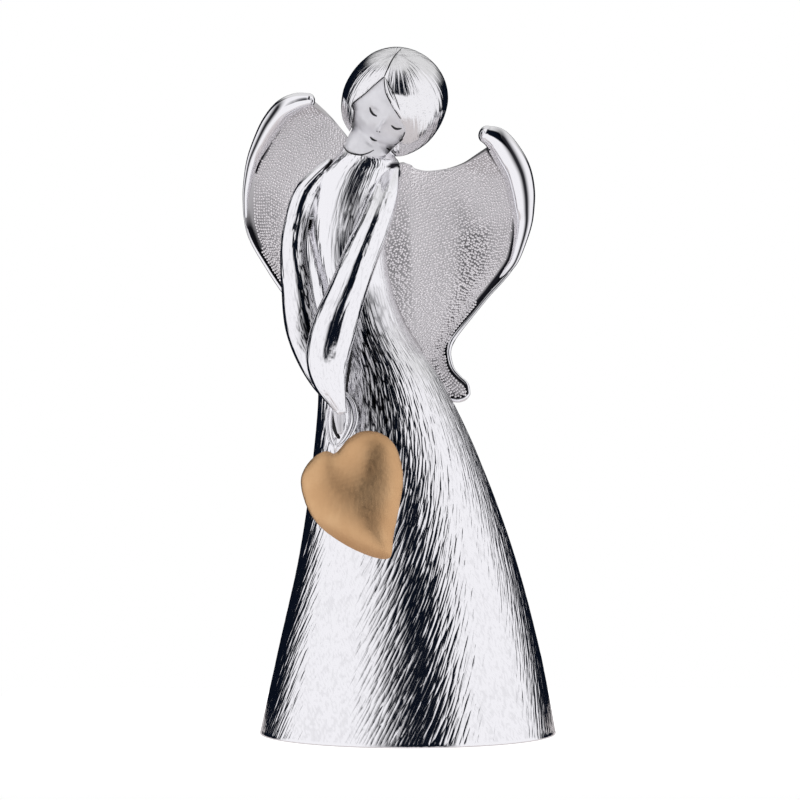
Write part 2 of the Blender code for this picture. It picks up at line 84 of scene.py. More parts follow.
def byLength(rows, shares, closed=False):
    # point at a share of the way along the rows, each stretch counted by its length
    rows = np.asarray(rows, float)
    steps = np.linalg.norm(np.diff(rows[:, :3], axis=0), axis=1)
    reach = np.concatenate([[0], np.cumsum(steps)])
    keys = np.interp(np.asarray(shares) * reach[-1], reach, np.arange(len(rows)))
    return alongRows(rows, keys, closed)


def unit(vectors):
    return vectors / np.maximum(np.linalg.norm(vectors, axis=-1, keepdims=True), 1e-9)


def ease(low, high, value):
    t = np.clip((value - low) / (high - low), 0, 1)
    return t * t * (3 - 2 * t)


def linkNew(name, data):
    piece = bpy.data.objects.new(name, data)
    bpy.context.scene.collection.objects.link(piece)
    return piece


def wrapSheet(name, place, around, along, welded=True, lay=None):
    # a flat grid laid onto a surface: place(u, v) gives points in mm, u round and v along;
    # lay gives the coordinates in mm that the tool marks follow
    bm = bmesh.new()
    bmesh.ops.create_grid(bm, x_segments=around, y_segments=along, size=0.5)
    mesh = bpy.data.meshes.new(name)
    bm.to_mesh(mesh)
    bm.free()
    flat = np.empty(len(mesh.vertices) * 3)
    mesh.vertices.foreach_get("co", flat)
    u, v = flat.reshape(-1, 3)[:, 0] + 0.5, flat.reshape(-1, 3)[:, 1] + 0.5
    points = place(u, v) * mm
    mesh.vertices.foreach_set("co", points.ravel())
    corners = np.empty(len(mesh.loops), int)
    mesh.loops.foreach_get("vertex_index", corners)
    layer = mesh.uv_layers.new(name="surface")
    layer.uv.foreach_set("vector", np.stack([u, v], 1)[corners].astype(np.float32).ravel())
    if lay is not None:
        marks = mesh.attributes.new("lay", "FLOAT_VECTOR", "POINT")
        marks.data.foreach_set("vector", lay(u, v, points / mm).astype(np.float32).ravel())
    bm = bmesh.new()
    bm.from_mesh(mesh)
    if welded:
        bmesh.ops.remove_doubles(bm, verts=bm.verts, dist=0.004 * mm)
        bmesh.ops.recalc_face_normals(bm, faces=bm.faces)
    bm.to_mesh(mesh)
    bm.free()
    mesh.shade_smooth()
    return linkNew(name, mesh)


def pointsOf(piece):
    flat = np.empty(len(piece.data.vertices) * 3)
    piece.data.vertices.foreach_get("co", flat)
    return flat.reshape(-1, 3) / mm


def normalsOf(piece):
    flat = np.empty(len(piece.data.vertices) * 3)
    piece.data.vertex_normals.foreach_get("vector", flat)
    return flat.reshape(-1, 3)


def setPoints(piece, points):
    piece.data.vertices.foreach_set("co", (points * mm).ravel())
    piece.data.update()


def mark(piece, name, values):
    # a value per vertex that the piece's material reads
    old = piece.data.attributes.get(name)
    layer = old or piece.data.attributes.new(name, "FLOAT", "POINT")
    layer.data.foreach_set("value", np.asarray(values, np.float32))


def applyAll(piece):
    graph = bpy.context.evaluated_depsgraph_get()
    mesh = bpy.data.meshes.new_from_object(piece.evaluated_get(graph))
    piece.modifiers.clear()
    old = piece.data
    piece.data = mesh
    bpy.data.meshes.remove(old)
    mesh.name = piece.name
    return piece


def addModifier(piece, kind, **settings):
    step = piece.modifiers.new(kind.lower(), kind)
    for name, value in settings.items():
        setattr(step, name, value)


def combine(piece, operation, tools):
    for tool in tools:
        addModifier(piece, "BOOLEAN", operation=operation, solver="EXACT", object=tool)
    applyAll(piece)
    for tool in tools:
        bpy.data.objects.remove(tool)


def oneSkin(piece, voxel, smoothSteps, pillowSteps=0):
    # one even skin; pillow steps soften its swell and keep its outline as seen from the front
    addModifier(piece, "REMESH", mode="VOXEL", voxel_size=voxel * mm)
    addModifier(piece, "SMOOTH", iterations=smoothSteps)
    if pillowSteps:
        addModifier(piece, "SMOOTH", iterations=pillowSteps, use_x=False, use_z=False)
    addModifier(piece, "SUBSURF", levels=1, render_levels=1)
    applyAll(piece)
    piece.data.shade_smooth()


def smoothBelow(piece, degrees):
    piece.data.shade_smooth()
    piece.data.set_sharp_from_angle(angle=math.radians(degrees))


def joinInto(piece, others):
    # several meshes in one piece
    bm = bmesh.new()
    bm.from_mesh(piece.data)
    for other in others:
        bm.from_mesh(other.data)
        bpy.data.objects.remove(other)
    bm.to_mesh(piece.data)
    bm.free()
    return piece


def sweepPlace(rows, depth=0.85, closed=False, roundness=0.8, crossShape=None):
    # an oval tube along x, y, z, half width rows, with the part's own cross-section
    rows = np.asarray(rows, float)
    last = len(rows) if closed else len(rows) - 1

    def place(u, v):
        angle = 2 * math.pi * u
        if closed:
            keys, grow, push = v * last, np.ones_like(v), np.zeros_like(v)
        else:
            tip = 0.045                       # share of the rows used for each round end
            keys = np.clip((v - tip) / (1 - 2 * tip), 0, 1) * last
            out = np.where(v < tip, (tip - v) / tip, np.where(v > 1 - tip, (v - 1 + tip) / tip, 0.0))
            turn = np.clip(out, 0, 1) * math.pi / 2
            grow = np.cos(turn)
            push = np.sin(turn) * roundness * np.where(v < 0.5, -1, 1)
        here = alongRows(rows, keys, closed)
        reach = 0.05
        if closed:
            ahead, behind = (alongRows(rows, keys + s * reach, True)[:, :3] for s in (1, -1))
        else:
            ahead = alongRows(rows, np.minimum(keys + reach, last))[:, :3]
            behind = alongRows(rows, np.maximum(keys - reach, 0))[:, :3]
        way = unit(ahead - behind)
        side = unit(np.cross(way, (0, 1, 0)))
        out = unit(np.cross(side, way))
        half = here[:, 3]
        thick = depth(half) if callable(depth) else half * depth
        a, b = np.cos(angle), np.sin(angle)
        if crossShape:
            a, b = crossShape(a, b, v)
        return (here[:, :3] + way * (push * half)[:, None]
                + side * (half * grow * a)[:, None] + out * (thick * grow * b)[:, None])
    return place


def sweepLay(rows, stretch):
    # marks run along the tube; the third number counts its length, drawn out by stretch
    rows = np.asarray(rows, float)
    length = np.linalg.norm(np.diff(rows[:, :3], axis=0), axis=1).sum()
    radius = rows[:, 3].mean()

    def lay(u, v, points):
        turn = 2 * math.pi * u
        return np.stack([radius * np.cos(turn), radius * np.sin(turn), v * length / stretch], 1)
    return lay


def layTree(points):
    tree = KDTree(len(points))
    for k, point in enumerate(points):
        tree.insert(point, k)
    tree.balance()
    return tree


def scatterOn(piece, spacing, seed):
    # evenly strewn points on a piece, at least spacing apart, with their normals
    mesh = piece.data
    mesh.calc_loop_triangles()
    corners = np.empty(len(mesh.loop_triangles) * 3, int)
    mesh.loop_triangles.foreach_get("vertices", corners)
    corners = corners.reshape(-1, 3)
    spots, facing = pointsOf(piece), normalsOf(piece)
    a, b, c = (spots[corners[:, k]] for k in range(3))
    areas = np.linalg.norm(np.cross(b - a, c - a), axis=1) / 2
    rng = np.random.default_rng(seed)
    tries = int(areas.sum() / spacing ** 2 * 2.2)
    pick = rng.choice(len(areas), tries, p=areas / areas.sum())
    s, t = np.sqrt(rng.random(tries)), rng.random(tries)
    found = (a[pick] * (1 - s)[:, None] + b[pick] * (s * (1 - t))[:, None] + c[pick] * (s * t)[:, None])
    cell = {}
    kept = []
    for k, spot in enumerate(found):
        key = tuple((spot // spacing).astype(int))
        near = [n for dx in (-1, 0, 1) for dy in (-1, 0, 1) for dz in (-1, 0, 1)
                for n in cell.get((key[0] + dx, key[1] + dy, key[2] + dz), ())]
        if all(sum((spot - found[n]) ** 2) > spacing ** 2 for n in near):
            cell.setdefault(key, []).append(k)
            kept.append(k)
    return found[kept], facing[corners[pick[kept], 0]]


def onSurface(flow, facing):
    # the part of each direction that lies in the surface
    return flow - facing * np.sum(flow * facing, axis=1)[:, None]


def chase(piece, flow, cut, seed, mask=None):
    # strokes of a small chasing tool: each is a long low pad between fine grooves, and tilts its own way
    width, length, lift, tilt = cut["width"], cut["length"], cut["lift"], cut["tilt"]
    seeds, seedFacing = scatterOn(piece, cut["spread"] * math.sqrt(width * length), seed)
    rng = np.random.default_rng(seed + 1)
    spots, facing = pointsOf(piece), normalsOf(piece)
    way = unit(flow(seeds, seedFacing))
    across = unit(np.cross(way, seedFacing))
    size = rng.uniform(0.75, 1.3, len(seeds))
    tree = layTree(seeds)
    near = np.array([[hit[1] for hit in tree.find_n(spot, cut["near"])] for spot in spots])
    gap = spots[:, None, :] - seeds[near]
    x = np.einsum("ijk,ijk->ij", gap, across[near]) / (width * size[near])
    y = np.einsum("ijk,ijk->ij", gap, way[near]) / (length * size[near])
    away = np.hypot(x, y)
    order = np.argsort(away, axis=1)
    row = np.arange(len(spots))
    first, second = away[row, order[:, 0]], away[row, order[:, 1]]
    mine = near[row, order[:, 0]]
    groove = 1 - ease(0.0, cut["groove"], second - first)
    height = -lift * np.minimum(first * 2, 1.3) ** 2 - lift * 0.7 * groove
    height += tilt * rng.normal(0, 1, len(seeds))[mine] * x[row, order[:, 0]]
    strength = np.ones(len(spots)) if mask is None else mask(spots)
    height *= strength
    groove *= strength
    mark(piece, "bite", strength)
    setPoints(piece, spots + facing * height[:, None])
    mark(piece, "groove", groove)
    return piece


def surfaceTree(piece):
    bm = bmesh.new()
    bm.from_mesh(piece.data)
    tree = BVHTree.FromBMesh(bm)
    bm.free()
    return tree


def frontDepth(trees, x, z):
    # how deep the foremost surface lies at x and z, if there is one
    ahead = Vector((x * mm, -0.06, z * mm))      # a point well in front of the figure
    hits = [tree.ray_cast(ahead, Vector((0, 1, 0)))[0] for tree in trees]
    return min((hit.y / mm for hit in hits if hit is not None), default=None)


def nearness(piece, others, reach):
    # how close each vertex is to the neighbouring pieces: dark patina gathers there, and painted shade
    # darkens the seams between pieces
    spots = pointsOf(piece)
    close = np.full(len(spots), reach)
    for tree in map(surfaceTree, others):
        for k, spot in enumerate(spots):
            hit = tree.find_nearest(spot * mm, reach * mm)
            if hit[3] is not None:
                close[k] = min(close[k], hit[3] / mm)
    fadeFrom, fadeTo, top = cleanShoulder
    kept = 1 - ease(fadeFrom, fadeTo, spots[:, 2]) * (spots[:, 2] < top)
    mark(piece, "patinaAndPaintedShade", (1 - ease(reach * 0.25, reach, close)) * kept)


def blacken(piece, middle, lean, wide, low, high, amount):
    # black patina left between the strokes of one patch on the front, deepened into painted shade and
    # painted dark reflection
    spots, facing = pointsOf(piece), normalsOf(piece)
    kept = {}
    for name in ("groove", "patinaAndPaintedShade"):
        kept[name] = np.empty(len(spots), np.float32)
        piece.data.attributes[name].data.foreach_get("value", kept[name])
    away = (spots[:, 0] - middle - lean * (spots[:, 2] - low)) / wide
    patch = np.exp(-away ** 2) * ease(low, low + 8, spots[:, 2]) * (1 - ease(high - 8, high, spots[:, 2]))
    patch *= facing[:, 1] < 0
    patch = np.minimum(patch * amount * (0.30 + 0.75 * kept["groove"]), 1)
    mark(piece, "patinaAndPaintedShade", np.maximum(kept["patinaAndPaintedShade"], patch))


def newMaterial(name):
    material = bpy.data.materials.new(name)
    material.use_nodes = True
    return material, material.node_tree, material.node_tree.nodes["Principled BSDF"]


def feed(graph, node, inputs):
    # each input takes a plain value or another node's output
    for key, value in inputs.items():
        if isinstance(value, bpy.types.NodeSocket):
            graph.links.new(value, node.inputs[key])
        else:
            node.inputs[key].default_value = value
    return node


def addNode(graph, kind, inputs=None, **settings):
    node = graph.nodes.new("ShaderNode" + kind)
    for name, value in settings.items():
        setattr(node, name, value)
    return feed(graph, node, inputs or {})


def maths(graph, operation, *inputs, **settings):
    return addNode(graph, "Math", dict(enumerate(inputs)), operation=operation, **settings).outputs[0]


def mixed(graph, share, a, b):
    return addNode(graph, "Mix", {"Factor": share, "A": a, "B": b}, data_type="RGBA").outputs["Result"]


def ramp(graph, source, *stops):
    node = addNode(graph, "ValToRGB", {0: source})
    elements = node.color_ramp.elements
    elements.remove(elements[-1])
    for k, (place, colour) in enumerate(stops):
        stop = elements.new(place) if k else elements[0]
        stop.position = place
        stop.color = (*colour, 1)
    return node.outputs[0]


def grey(value):
    return (value, value, value)


def greys(graph, source, low, high):
    # a grey ramp between two stops, each a place and a value
    return ramp(graph, source, (low[0], grey(low[1])), (high[0], grey(high[1])))


def noiseOn(graph, vector, scale, detail=3, rough=0.5):
    return addNode(graph, "TexNoise", {"Vector": vector, "Scale": scale, "Detail": detail,
                                       "Roughness": rough}).outputs["Fac"]


def bumped(graph, height, strength, distance, under=None, invert=False):
    inputs = {"Strength": strength, "Distance": distance, "Height": height}
    if under:
        inputs["Normal"] = under
    return addNode(graph, "Bump", inputs, invert=invert).outputs["Normal"]


def attributeOf(graph, name, output="Fac"):
    return addNode(graph, "Attribute", attribute_name=name).outputs[output]


def spotOn(graph):
    return addNode(graph, "TexCoord").outputs["Object"]


def silverMaterial(name, colour, roughness, marks, grooveAndShadeDark=(0.12, 1.0)):
    # silver leaf rubbed bright over chased strokes, with dark patina left in seams and grooves, and painted
    # shade and painted reflections darkening it where marked
    material, graph, shader = newMaterial(name)
    lay = attributeOf(graph, "lay", "Vector")
    wander = addNode(graph, "TexNoise", {"Vector": lay, "Scale": marks["pads"] * 0.35, "Detail": 2.0})
    sway = addNode(graph, "VectorMath", {0: wander.outputs["Color"], 1: grey(0.9), 2: lay},
                   operation="MULTIPLY_ADD")
    pads = addNode(graph, "TexVoronoi", {"Vector": sway.outputs[0], "Scale": marks["pads"]}, feature="F1")
    dome = maths(graph, "POWER", pads.outputs["Distance"], 2.0)
    depth = maths(graph, "MULTIPLY", dome, attributeOf(graph, "bite"))
    padded = bumped(graph, depth, 1.0, marks["padDepth"], invert=True)
    hairs = noiseOn(graph, lay, marks["hairs"], 3, 0.6)
    fine = greys(graph, attributeOf(graph, "groove"), (0.35, 0), (1.0, grooveAndShadeDark[0]))
    # this attribute holds seam patina together with painted shade and painted reflections
    soft = greys(graph, attributeOf(graph, "patinaAndPaintedShade"), (0.1, 0), (0.9, grooveAndShadeDark[1]))
    dark = maths(graph, "MAXIMUM", fine, soft)
    clouds = noiseOn(graph, spotOn(graph), 60, 3)
    low, high = roughness
    feed(graph, shader, {"Base Color": mixed(graph, dark, (*colour, 1), (*patinaAndShadeBlack, 1)),
                         "Roughness": greys(graph, clouds, (0.35, low), (0.7, high)), "Metallic": 1.0,
                         "Normal": bumped(graph, hairs, 1.0, marks["hairDepth"], padded)})
    return material


def satinMaterial(name, colour, roughness, grain):
    # satin silver of the face and hands: fine even grain with faint clouds
    material, graph, shader = newMaterial(name)
    spot = spotOn(graph)
    clouds, fine = noiseOn(graph, spot, 220, 4), noiseOn(graph, spot, grain, 2)
    deep = tuple(c * 0.86 for c in colour)
    low, high = roughness
    feed(graph, shader, {"Base Color": ramp(graph, clouds, (0.3, deep), (0.7, colour)),
                         "Roughness": greys(graph, clouds, (0.3, high), (0.7, low)),
                         "Normal": bumped(graph, fine, 0.12, 0.00008), "Metallic": 0.45})
    return material


def goldMaterial(name, deep, middle, bright):
    # rubbed gold leaf: warm, satin, with soft clouds and fine rubbing marks
    material, graph, shader = newMaterial(name)
    spot = spotOn(graph)
    clouds = noiseOn(graph, spot, 90, 4)
    lay = addNode(graph, "Mapping", {"Vector": spot, "Scale": (1.0, 1.0, 0.25),
                                     "Rotation": (0, math.radians(35), 0)})
    rubs = noiseOn(graph, lay.outputs["Vector"], 1400, 3)
    feed(graph, shader, {"Base Color": ramp(graph, clouds, (0.3, deep), (0.52, middle), (0.75, bright)),
                         "Roughness": greys(graph, rubs, (0.3, 0.36), (0.7, 0.44)),
                         "Normal": bumped(graph, rubs, 0.25, 0.00012), "Metallic": 1.0})
    return material


def plainMaterial(name, dark, light, roughness, scale, depth, metallic=0.0):
    # cast, woven or turned stuff with its own grain
    material, graph, shader = newMaterial(name)
    grain = noiseOn(graph, spotOn(graph), scale, 5, 0.65)
    rough = greys(graph, grain, (0.3, roughness), (0.8, min(1, roughness + 0.12)))
    feed(graph, shader, {"Base Color": ramp(graph, grain, (0.3, dark), (0.7, light)), "Roughness": rough,
                         "Normal": bumped(graph, grain, 0.5, depth), "Metallic": metallic})
    return material


# black of patina in grooves and seams, also used for painted shade and painted reflections
patinaAndShadeBlack = (0.012, 0.012, 0.016)
leafSilver = (0.93, 0.925, 0.945)
dressSilver = silverMaterial("chasedSilver", leafSilver, (0.06, 0.11),
                             {"pads": 0.90, "padDepth": 0.00016, "hairs": 3.0, "hairDepth": 0.000010})
sleeveSilver = silverMaterial("sleeveSilver", leafSilver, (0.05, 0.10),
                              {"pads": 0.80, "padDepth": 0.00010, "hairs": 2.6, "hairDepth": 0.000014})
hairSilver = silverMaterial("hairSilver", (0.89, 0.885, 0.90), (0.06, 0.11),
                            {"pads": 0.9, "padDepth": 0.00013, "hairs": 3.0, "hairDepth": 0.000030},
                            (0.2, 1.0))
rimSilver = silverMaterial("rimSilver", leafSilver, (0.05, 0.09),
                           {"pads": 0.5, "padDepth": 0.00001, "hairs": 1.5, "hairDepth": 0.000006},
                           (0.2, 0.99))
beadSilver = silverMaterial("stippledSilver", (0.95, 0.93, 0.94), (0.08, 0.14),
                            {"pads": 1.6, "padDepth": 0.00001, "hairs": 5.0, "hairDepth": 0.000004})
# the sheet between the beads: silver whose colour is darkened as painted shade between the beads
shadedSheetSilver = silverMaterial("shadedSheetSilver", (0.58, 0.565, 0.575), (0.26, 0.34),
                             {"pads": 1.1, "padDepth": 0.00012, "hairs": 5.0, "hairDepth": 0.00002})
faceSilver = satinMaterial("satinSilver", (0.88, 0.875, 0.90), (0.36, 0.44), 2600)
heartGold = goldMaterial("rubbedGold", (0.61, 0.360, 0.180), (0.69, 0.425, 0.220), (0.77, 0.50, 0.270))
# black of the drawn cords: patina in incised lines, painted shadow in the cords beside the loop, cuff and
# sleeve
patina = plainMaterial("blackPatinaAndShadow", (0.002, 0.002, 0.003), (0.007, 0.007, 0.009), 0.62, 1500, 0.00003)
feltBlack = plainMaterial("pressedFelt", (0.02, 0.02, 0.025), (0.07, 0.07, 0.08), 0.88, 2400, 0.0003)
castPlaster = plainMaterial("castPlaster", (0.70, 0.68, 0.62), (0.85, 0.84, 0.80), 0.7, 700, 0.0002)
turnedSteel = plainMaterial("turnedSteel", (0.42, 0.43, 0.45), (0.62, 0.63, 0.65), 0.28, 900, 0.00005, 1.0)


def finishPiece(piece, material, body, slot, *nodes):
    piece.data.materials.clear()
    piece.data.materials.append(material)
    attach(piece, body)
    if nodes:
        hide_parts(*nodes)
    return piece


dress = {
    "stations": (                      # height, centre x, centre y, half width, half depth
        (0.4, 0.0, 0.0, 43.0, 38.0), (24.5, 0.3, 0.0, 38.0, 33.6), (53.6, -0.4, 0.0, 30.9, 27.5),
        (82.6, -3.8, 0.3, 23.5, 21.0), (103.0, -8.2, 0.8, 17.8, 16.0), (120.3, -14.7, 1.5, 13.1, 11.2),
        (140.6, -18.4, 2.0, 12.0, 9.5), (155.1, -16.5, 2.0, 12.5, 9.0), (162.3, -14.2, 1.5, 11.9, 8.0),
        (166.1, -12.6, 1.0, 10.0, 7.0), (168.6, -12.4, 1.2, 7.8, 6.0), (170.6, -12.5, 2.0, 6.6, 4.4),
        (171.8, -12.6, 2.6, 5.4, 3.0)),
    "wall": 3.0, "rim": 0.4, "roof": 45.0,
    "rimRows": ((0.30, 0.0), (0.18, -0.04), (0.05, -0.14), (0.0, -0.30), (0.0, -0.6), (0.0, -2.6),
                (0.2, -3.0)),
    "around": 390, "rows": 236, "frontCrowd": 0.28,
    "strokes": {"width": 1.30, "length": 7.5, "lift": 0.045, "tilt": 0.055, "spread": 0.60,
                "groove": 0.22, "near": 20},
    "lean": 0.50, "leanTop": 0.04, "leanFrom": 60.0, "leanTo": 105.0, "leanSide": 118,
    "layRadius": 38.0, "layStretch": 7.0,
}


def dressAt(height):
    table = np.array(dress["stations"])
    heights = table[:, 0]
    height = np.clip(height, heights[0], heights[-1])
    k = np.clip(np.searchsorted(heights, height, side="left"), 1, len(heights) - 1)
    low, high = table[k - 1], table[k]
    before, after = table[np.maximum(k - 2, 0)], table[np.minimum(k + 1, len(heights) - 1)]
    span = (high - low)[:, :1]
    t = (height - low[:, 0])[:, None] / span
    leave = (high - before) / np.maximum((high - before)[:, :1], 1e-6) * span
    arrive = (after - low) / np.maximum((after - low)[:, :1], 1e-6) * span
    shape = between(low, high, leave, arrive, t)
    return shape[:, 1], shape[:, 2], shape[:, 3], shape[:, 4]


def dressRows():
    # height, growth and closing of each row: crown, outside, rim, inside, roof of the hollow
    top = dress["stations"][-1][0]
    outer = np.linspace(top, dress["rim"] + 0.6, dress["rows"])
    rows = [(top + 0.0, 0.0, 0.0), (top + 0.0, 0.0, 0.6)]
    rows += [(z, 0.0, 1.0) for z in outer]
    rows += [(dress["rim"] + rise, grow, 1.0) for rise, grow in dress["rimRows"]]
    rows += [(z, -dress["wall"], 1.0) for z in (6.0, 25.0, dress["roof"])]
    rows += [(dress["roof"], -dress["wall"], 0.0)]
    return np.array(rows)


def dressAngle(u):
    # starts at the back and crowds the columns towards the front
    turn = 2 * math.pi * (u + dress["frontCrowd"] * np.sin(2 * math.pi * u) / (2 * math.pi))
    return math.pi / 2 + turn


def placeDress(u, v):
    rows = dressRows()
    k = np.rint(v * (len(rows) - 1)).astype(int)
    height, grow, close = rows[k].T
    x, y, wide, deep = dressAt(height)
    angle = dressAngle(u)
    return np.stack([x + (wide + grow) * close * np.cos(angle),
                     y + (deep + grow) * close * np.sin(angle), height], 1)


def dressLean(angle, height):
    fade = 1 - ease(dress["leanFrom"], dress["leanTo"], height)
    lean = dress["leanTop"] + (dress["lean"] - dress["leanTop"]) * fade
    return lean * (0.5 + 0.5 * np.cos(angle + math.radians(dress["leanSide"])))


def dressFlow(spots, facing):
    # strokes climb the dress, leaning to the right over the lower front and left
    x, y, wide, deep = dressAt(spots[:, 2])
    angle = np.arctan2((spots[:, 1] - y) / deep, (spots[:, 0] - x) / wide)
    x2, y2, wide2, deep2 = dressAt(spots[:, 2] + 1.0)
    climb = np.stack([x2 - x + (wide2 - wide) * np.cos(angle), y2 - y + (deep2 - deep) * np.sin(angle),
                      np.ones(len(spots))], 1)
    roundWay = np.stack([-np.sin(angle), np.cos(angle), np.zeros(len(spots))], 1)
    return onSurface(climb + roundWay * dressLean(angle, spots[:, 2])[:, None], facing)


def dressLay(u, v, points):
    # follow each point's stroke down to the rim, so that marks there line up with the strokes above
    x, y, wide, deep = dressAt(points[:, 2])
    angle = np.arctan2((points[:, 1] - y) / deep, (points[:, 0] - x) / wide)
    height = points[:, 2].copy()
    steps = 80
    drop = height / steps
    for _ in range(steps):
        angle -= dressLean(angle, height) * drop / dressAt(height)[2]
        height -= drop
    radius = dress["layRadius"] * np.sqrt(wide / dress["layRadius"])
    return np.stack([radius * np.cos(angle), radius * np.sin(angle), points[:, 2] / dress["layStretch"]], 1)


def dressStrength(spots):
    # deep strokes on the skirt, lighter ones on the bodice, none inside
    height = spots[:, 2]
    strength = 1.0 - 0.60 * ease(100, 130, height)
    x, y, wide, deep = dressAt(height)
    inside = np.hypot((spots[:, 0] - x) / wide, (spots[:, 1] - y) / deep)
    return strength * ease(0.955, 0.985, inside) * ease(0.7, 1.8, height)


def makeDress():
    rows = len(dressRows()) - 1
    skin = wrapSheet("dressSkin", placeDress, dress["around"], rows, lay=dressLay)
    chase(skin, dressFlow, dress["strokes"], 11, dressStrength)
    return skin


dressSkin = makeDress()
print("dress:", len(dressSkin.data.polygons), "faces")


sleeves = {
    "right": ((-22.6, 0.5, 165.0, 2.4), (-29.2, -1.5, 157.3, 3.6), (-32.3, -4.0, 147.7, 3.6),
              (-33.1, -7.5, 139.0, 3.7), (-31.8, -11.5, 128.9, 4.5), (-30.0, -15.0, 118.8, 5.2),
              (-26.8, -17.5, 110.3, 5.2), (-23.4, -18.8, 102.6, 4.0), (-19.9, -19.4, 95.6, 1.6)),
    "left": ((-5.6, -1.0, 163.0, 3.6), (-6.9, -5.0, 156.3, 4.4), (-9.8, -10.5, 147.5, 4.8),
             (-13.4, -15.0, 138.8, 5.1), (-17.1, -19.0, 128.8, 5.5), (-20.7, -22.0, 118.8, 6.4),
             (-22.7, -23.4, 110.3, 6.2), (-22.2, -24.4, 103.2, 4.9), (-19.0, -25.6, 94.6, 1.6)),
    "hands": ((-21.0, -19.6, 104.0, 2.2), (-19.9, -19.3, 97.5, 2.0), (-19.6, -20.8, 92.0, 1.4),
              (-19.3, -22.0, 88.4, 0.8)),
    "strokes": {"width": 0.95, "length": 9.0, "lift": 0.018, "tilt": 0.042, "spread": 0.55,
                "groove": 0.16, "near": 18},
}


def flowAlong(rows):
    # strokes run along the nearest stretch of a swept piece
    keys = np.linspace(0, len(rows) - 1, 60)
    path = alongRows(rows, keys)[:, :3]
    ways = unit(np.gradient(path, axis=0))
    tree = layTree(path)

    def flow(spots, facing):
        near = np.array([tree.find(spot)[1] for spot in spots])
        return onSurface(ways[near], facing)
    return flow


def makeSleeve(name, rows, seed):
    sleeve = wrapSheet(name, sweepPlace(rows), 120, 300, lay=sweepLay(rows, 9))
    return chase(sleeve, flowAlong(rows), sleeves["strokes"], seed)


def fingerShape(a, b, v):
    # four fingers lie side by side: shallow grooves run down the front of the hand
    groove = 1 - 0.12 * np.abs(np.sin(2.2 * math.pi * a)) * (b < 0)
    return a, b * groove


rightSleeve = makeSleeve("rightSleeve", sleeves["right"], 21)
leftSleeve = makeSleeve("leftSleeve", sleeves["left"], 31)
hands = wrapSheet("joinedHands", sweepPlace(sleeves["hands"], 0.8, crossShape=fingerShape), 48, 70)
print("sleeves and hands")


head = {
    "centre": (-3.5, -2.0, 184.0), "roll": math.radians(33.7), "bow": math.radians(27.0),
    "faceCentre": (-0.2, 3.2, -1.7), "faceRadii": (10.2, 9.7, 11.0),
    "neck": ((-12.6, 1.2, 163.0, 4.2), (-12.5, 0.9, 166.5, 5.4), (-11.7, 0.1, 169.6, 6.9),
             (-10.6, -0.4, 174.0, 5.9), (-8.8, -0.9, 179.0, 5.4)),
    "scalp": ((14.2, 2.0, 2.0), (13.0, 5.4, 5.6), (10.8, 9.6, 10.0), (7.3, 12.4, 12.9), (3.3, 13.8, 14.3),
              (-0.8, 14.3, 14.6), (-4.8, 13.7, 13.7), (-8.0, 12.0, 11.7), (-10.6, 9.0, 8.6),
              (-12.0, 5.0, 5.0)),
    "voxel": 0.45, "smoothSteps": 20,
}
headRoll, headBow = head["roll"], head["bow"]
headSide = np.array((math.cos(headRoll), 0, -math.sin(headRoll)))
headUp = np.array((math.sin(headRoll) * math.cos(headBow), -math.sin(headBow),
                   math.cos(headRoll) * math.cos(headBow)))
headAhead = np.array((-math.sin(headRoll) * math.sin(headBow), -math.cos(headBow),
                      -math.cos(headRoll) * math.sin(headBow)))
headCentre = np.array(head["centre"])


def fromHead(side, ahead, above):
    return (headCentre + np.multiply.outer(side, headSide) + np.multiply.outer(ahead, headAhead)
            + np.multiply.outer(above, headUp))


def eggPlace(grow):
    def place(u, v):
        turn, rise = 2 * math.pi * u, math.pi * (v - 0.5)
        a, b, c = (r + grow for r in head["faceRadii"])
        x, y, z = head["faceCentre"]
        return fromHead(x + a * np.cos(turn) * np.cos(rise), y + b * np.sin(turn) * np.cos(rise),
                        z + c * np.sin(rise))
    return place


# soft swellings and hollows of the face: side, height, spread sideways, spread upwards, amount
faceForms = (
    (1.1, -5.2, 5.0, 2.4, 0.30),      # brow
    (-2.9, -7.2, 1.9, 1.3, -0.95),    # eye sockets
    (5.0, -7.2, 1.9, 1.3, -0.95),
    (-2.9, -7.5, 1.3, 0.7, 0.30),     # closed lids
    (5.0, -7.5, 1.3, 0.7, 0.30),
    (-3.2, -10.8, 2.4, 1.8, 0.35),    # cheeks
    (5.4, -10.8, 2.4, 1.8, 0.35),
    (1.2, -8.2, 0.50, 1.9, 1.25),     # bridge of the nose
    (1.3, -10.2, 0.80, 0.75, 1.10),   # tip
    (1.2, -11.8, 1.8, 0.6, -0.15),    # lip hollow
    (1.2, -12.7, 1.25, 0.42, 0.55),   # upper lip
    (1.2, -13.7, 1.05, 0.45, 0.48),   # lower lip
    (1.2, -13.2, 1.5, 0.16, -0.22),   # mouth line
    (1.3, -14.8, 1.9, 0.5, -0.15),
    (0.8, -14.7, 2.6, 1.6, 0.50),     # chin
)


def faceAxes(spots):
    # sideways and upwards across the bowed face, as seen from the front
    dx, dz = spots[:, 0] - headCentre[0], spots[:, 2] - headCentre[2]
    return (dx * math.cos(headRoll) - dz * math.sin(headRoll),
            dx * math.sin(headRoll) + dz * math.cos(headRoll))


def crownPlace(u, v):
    # the scalp, a little inside the hair
    rows = np.array(head["scalp"])
    height, wide, deep = alongRows(rows, np.clip((v - 0.04) / 0.92, 0, 1) * (len(rows) - 1)).T
    close = np.where((v <= 0) | (v >= 1), 0.0, 1.0)
    turn = 2 * math.pi * u
    return fromHead(wide * close * np.cos(turn), -0.4 + deep * close * np.sin(turn), height)


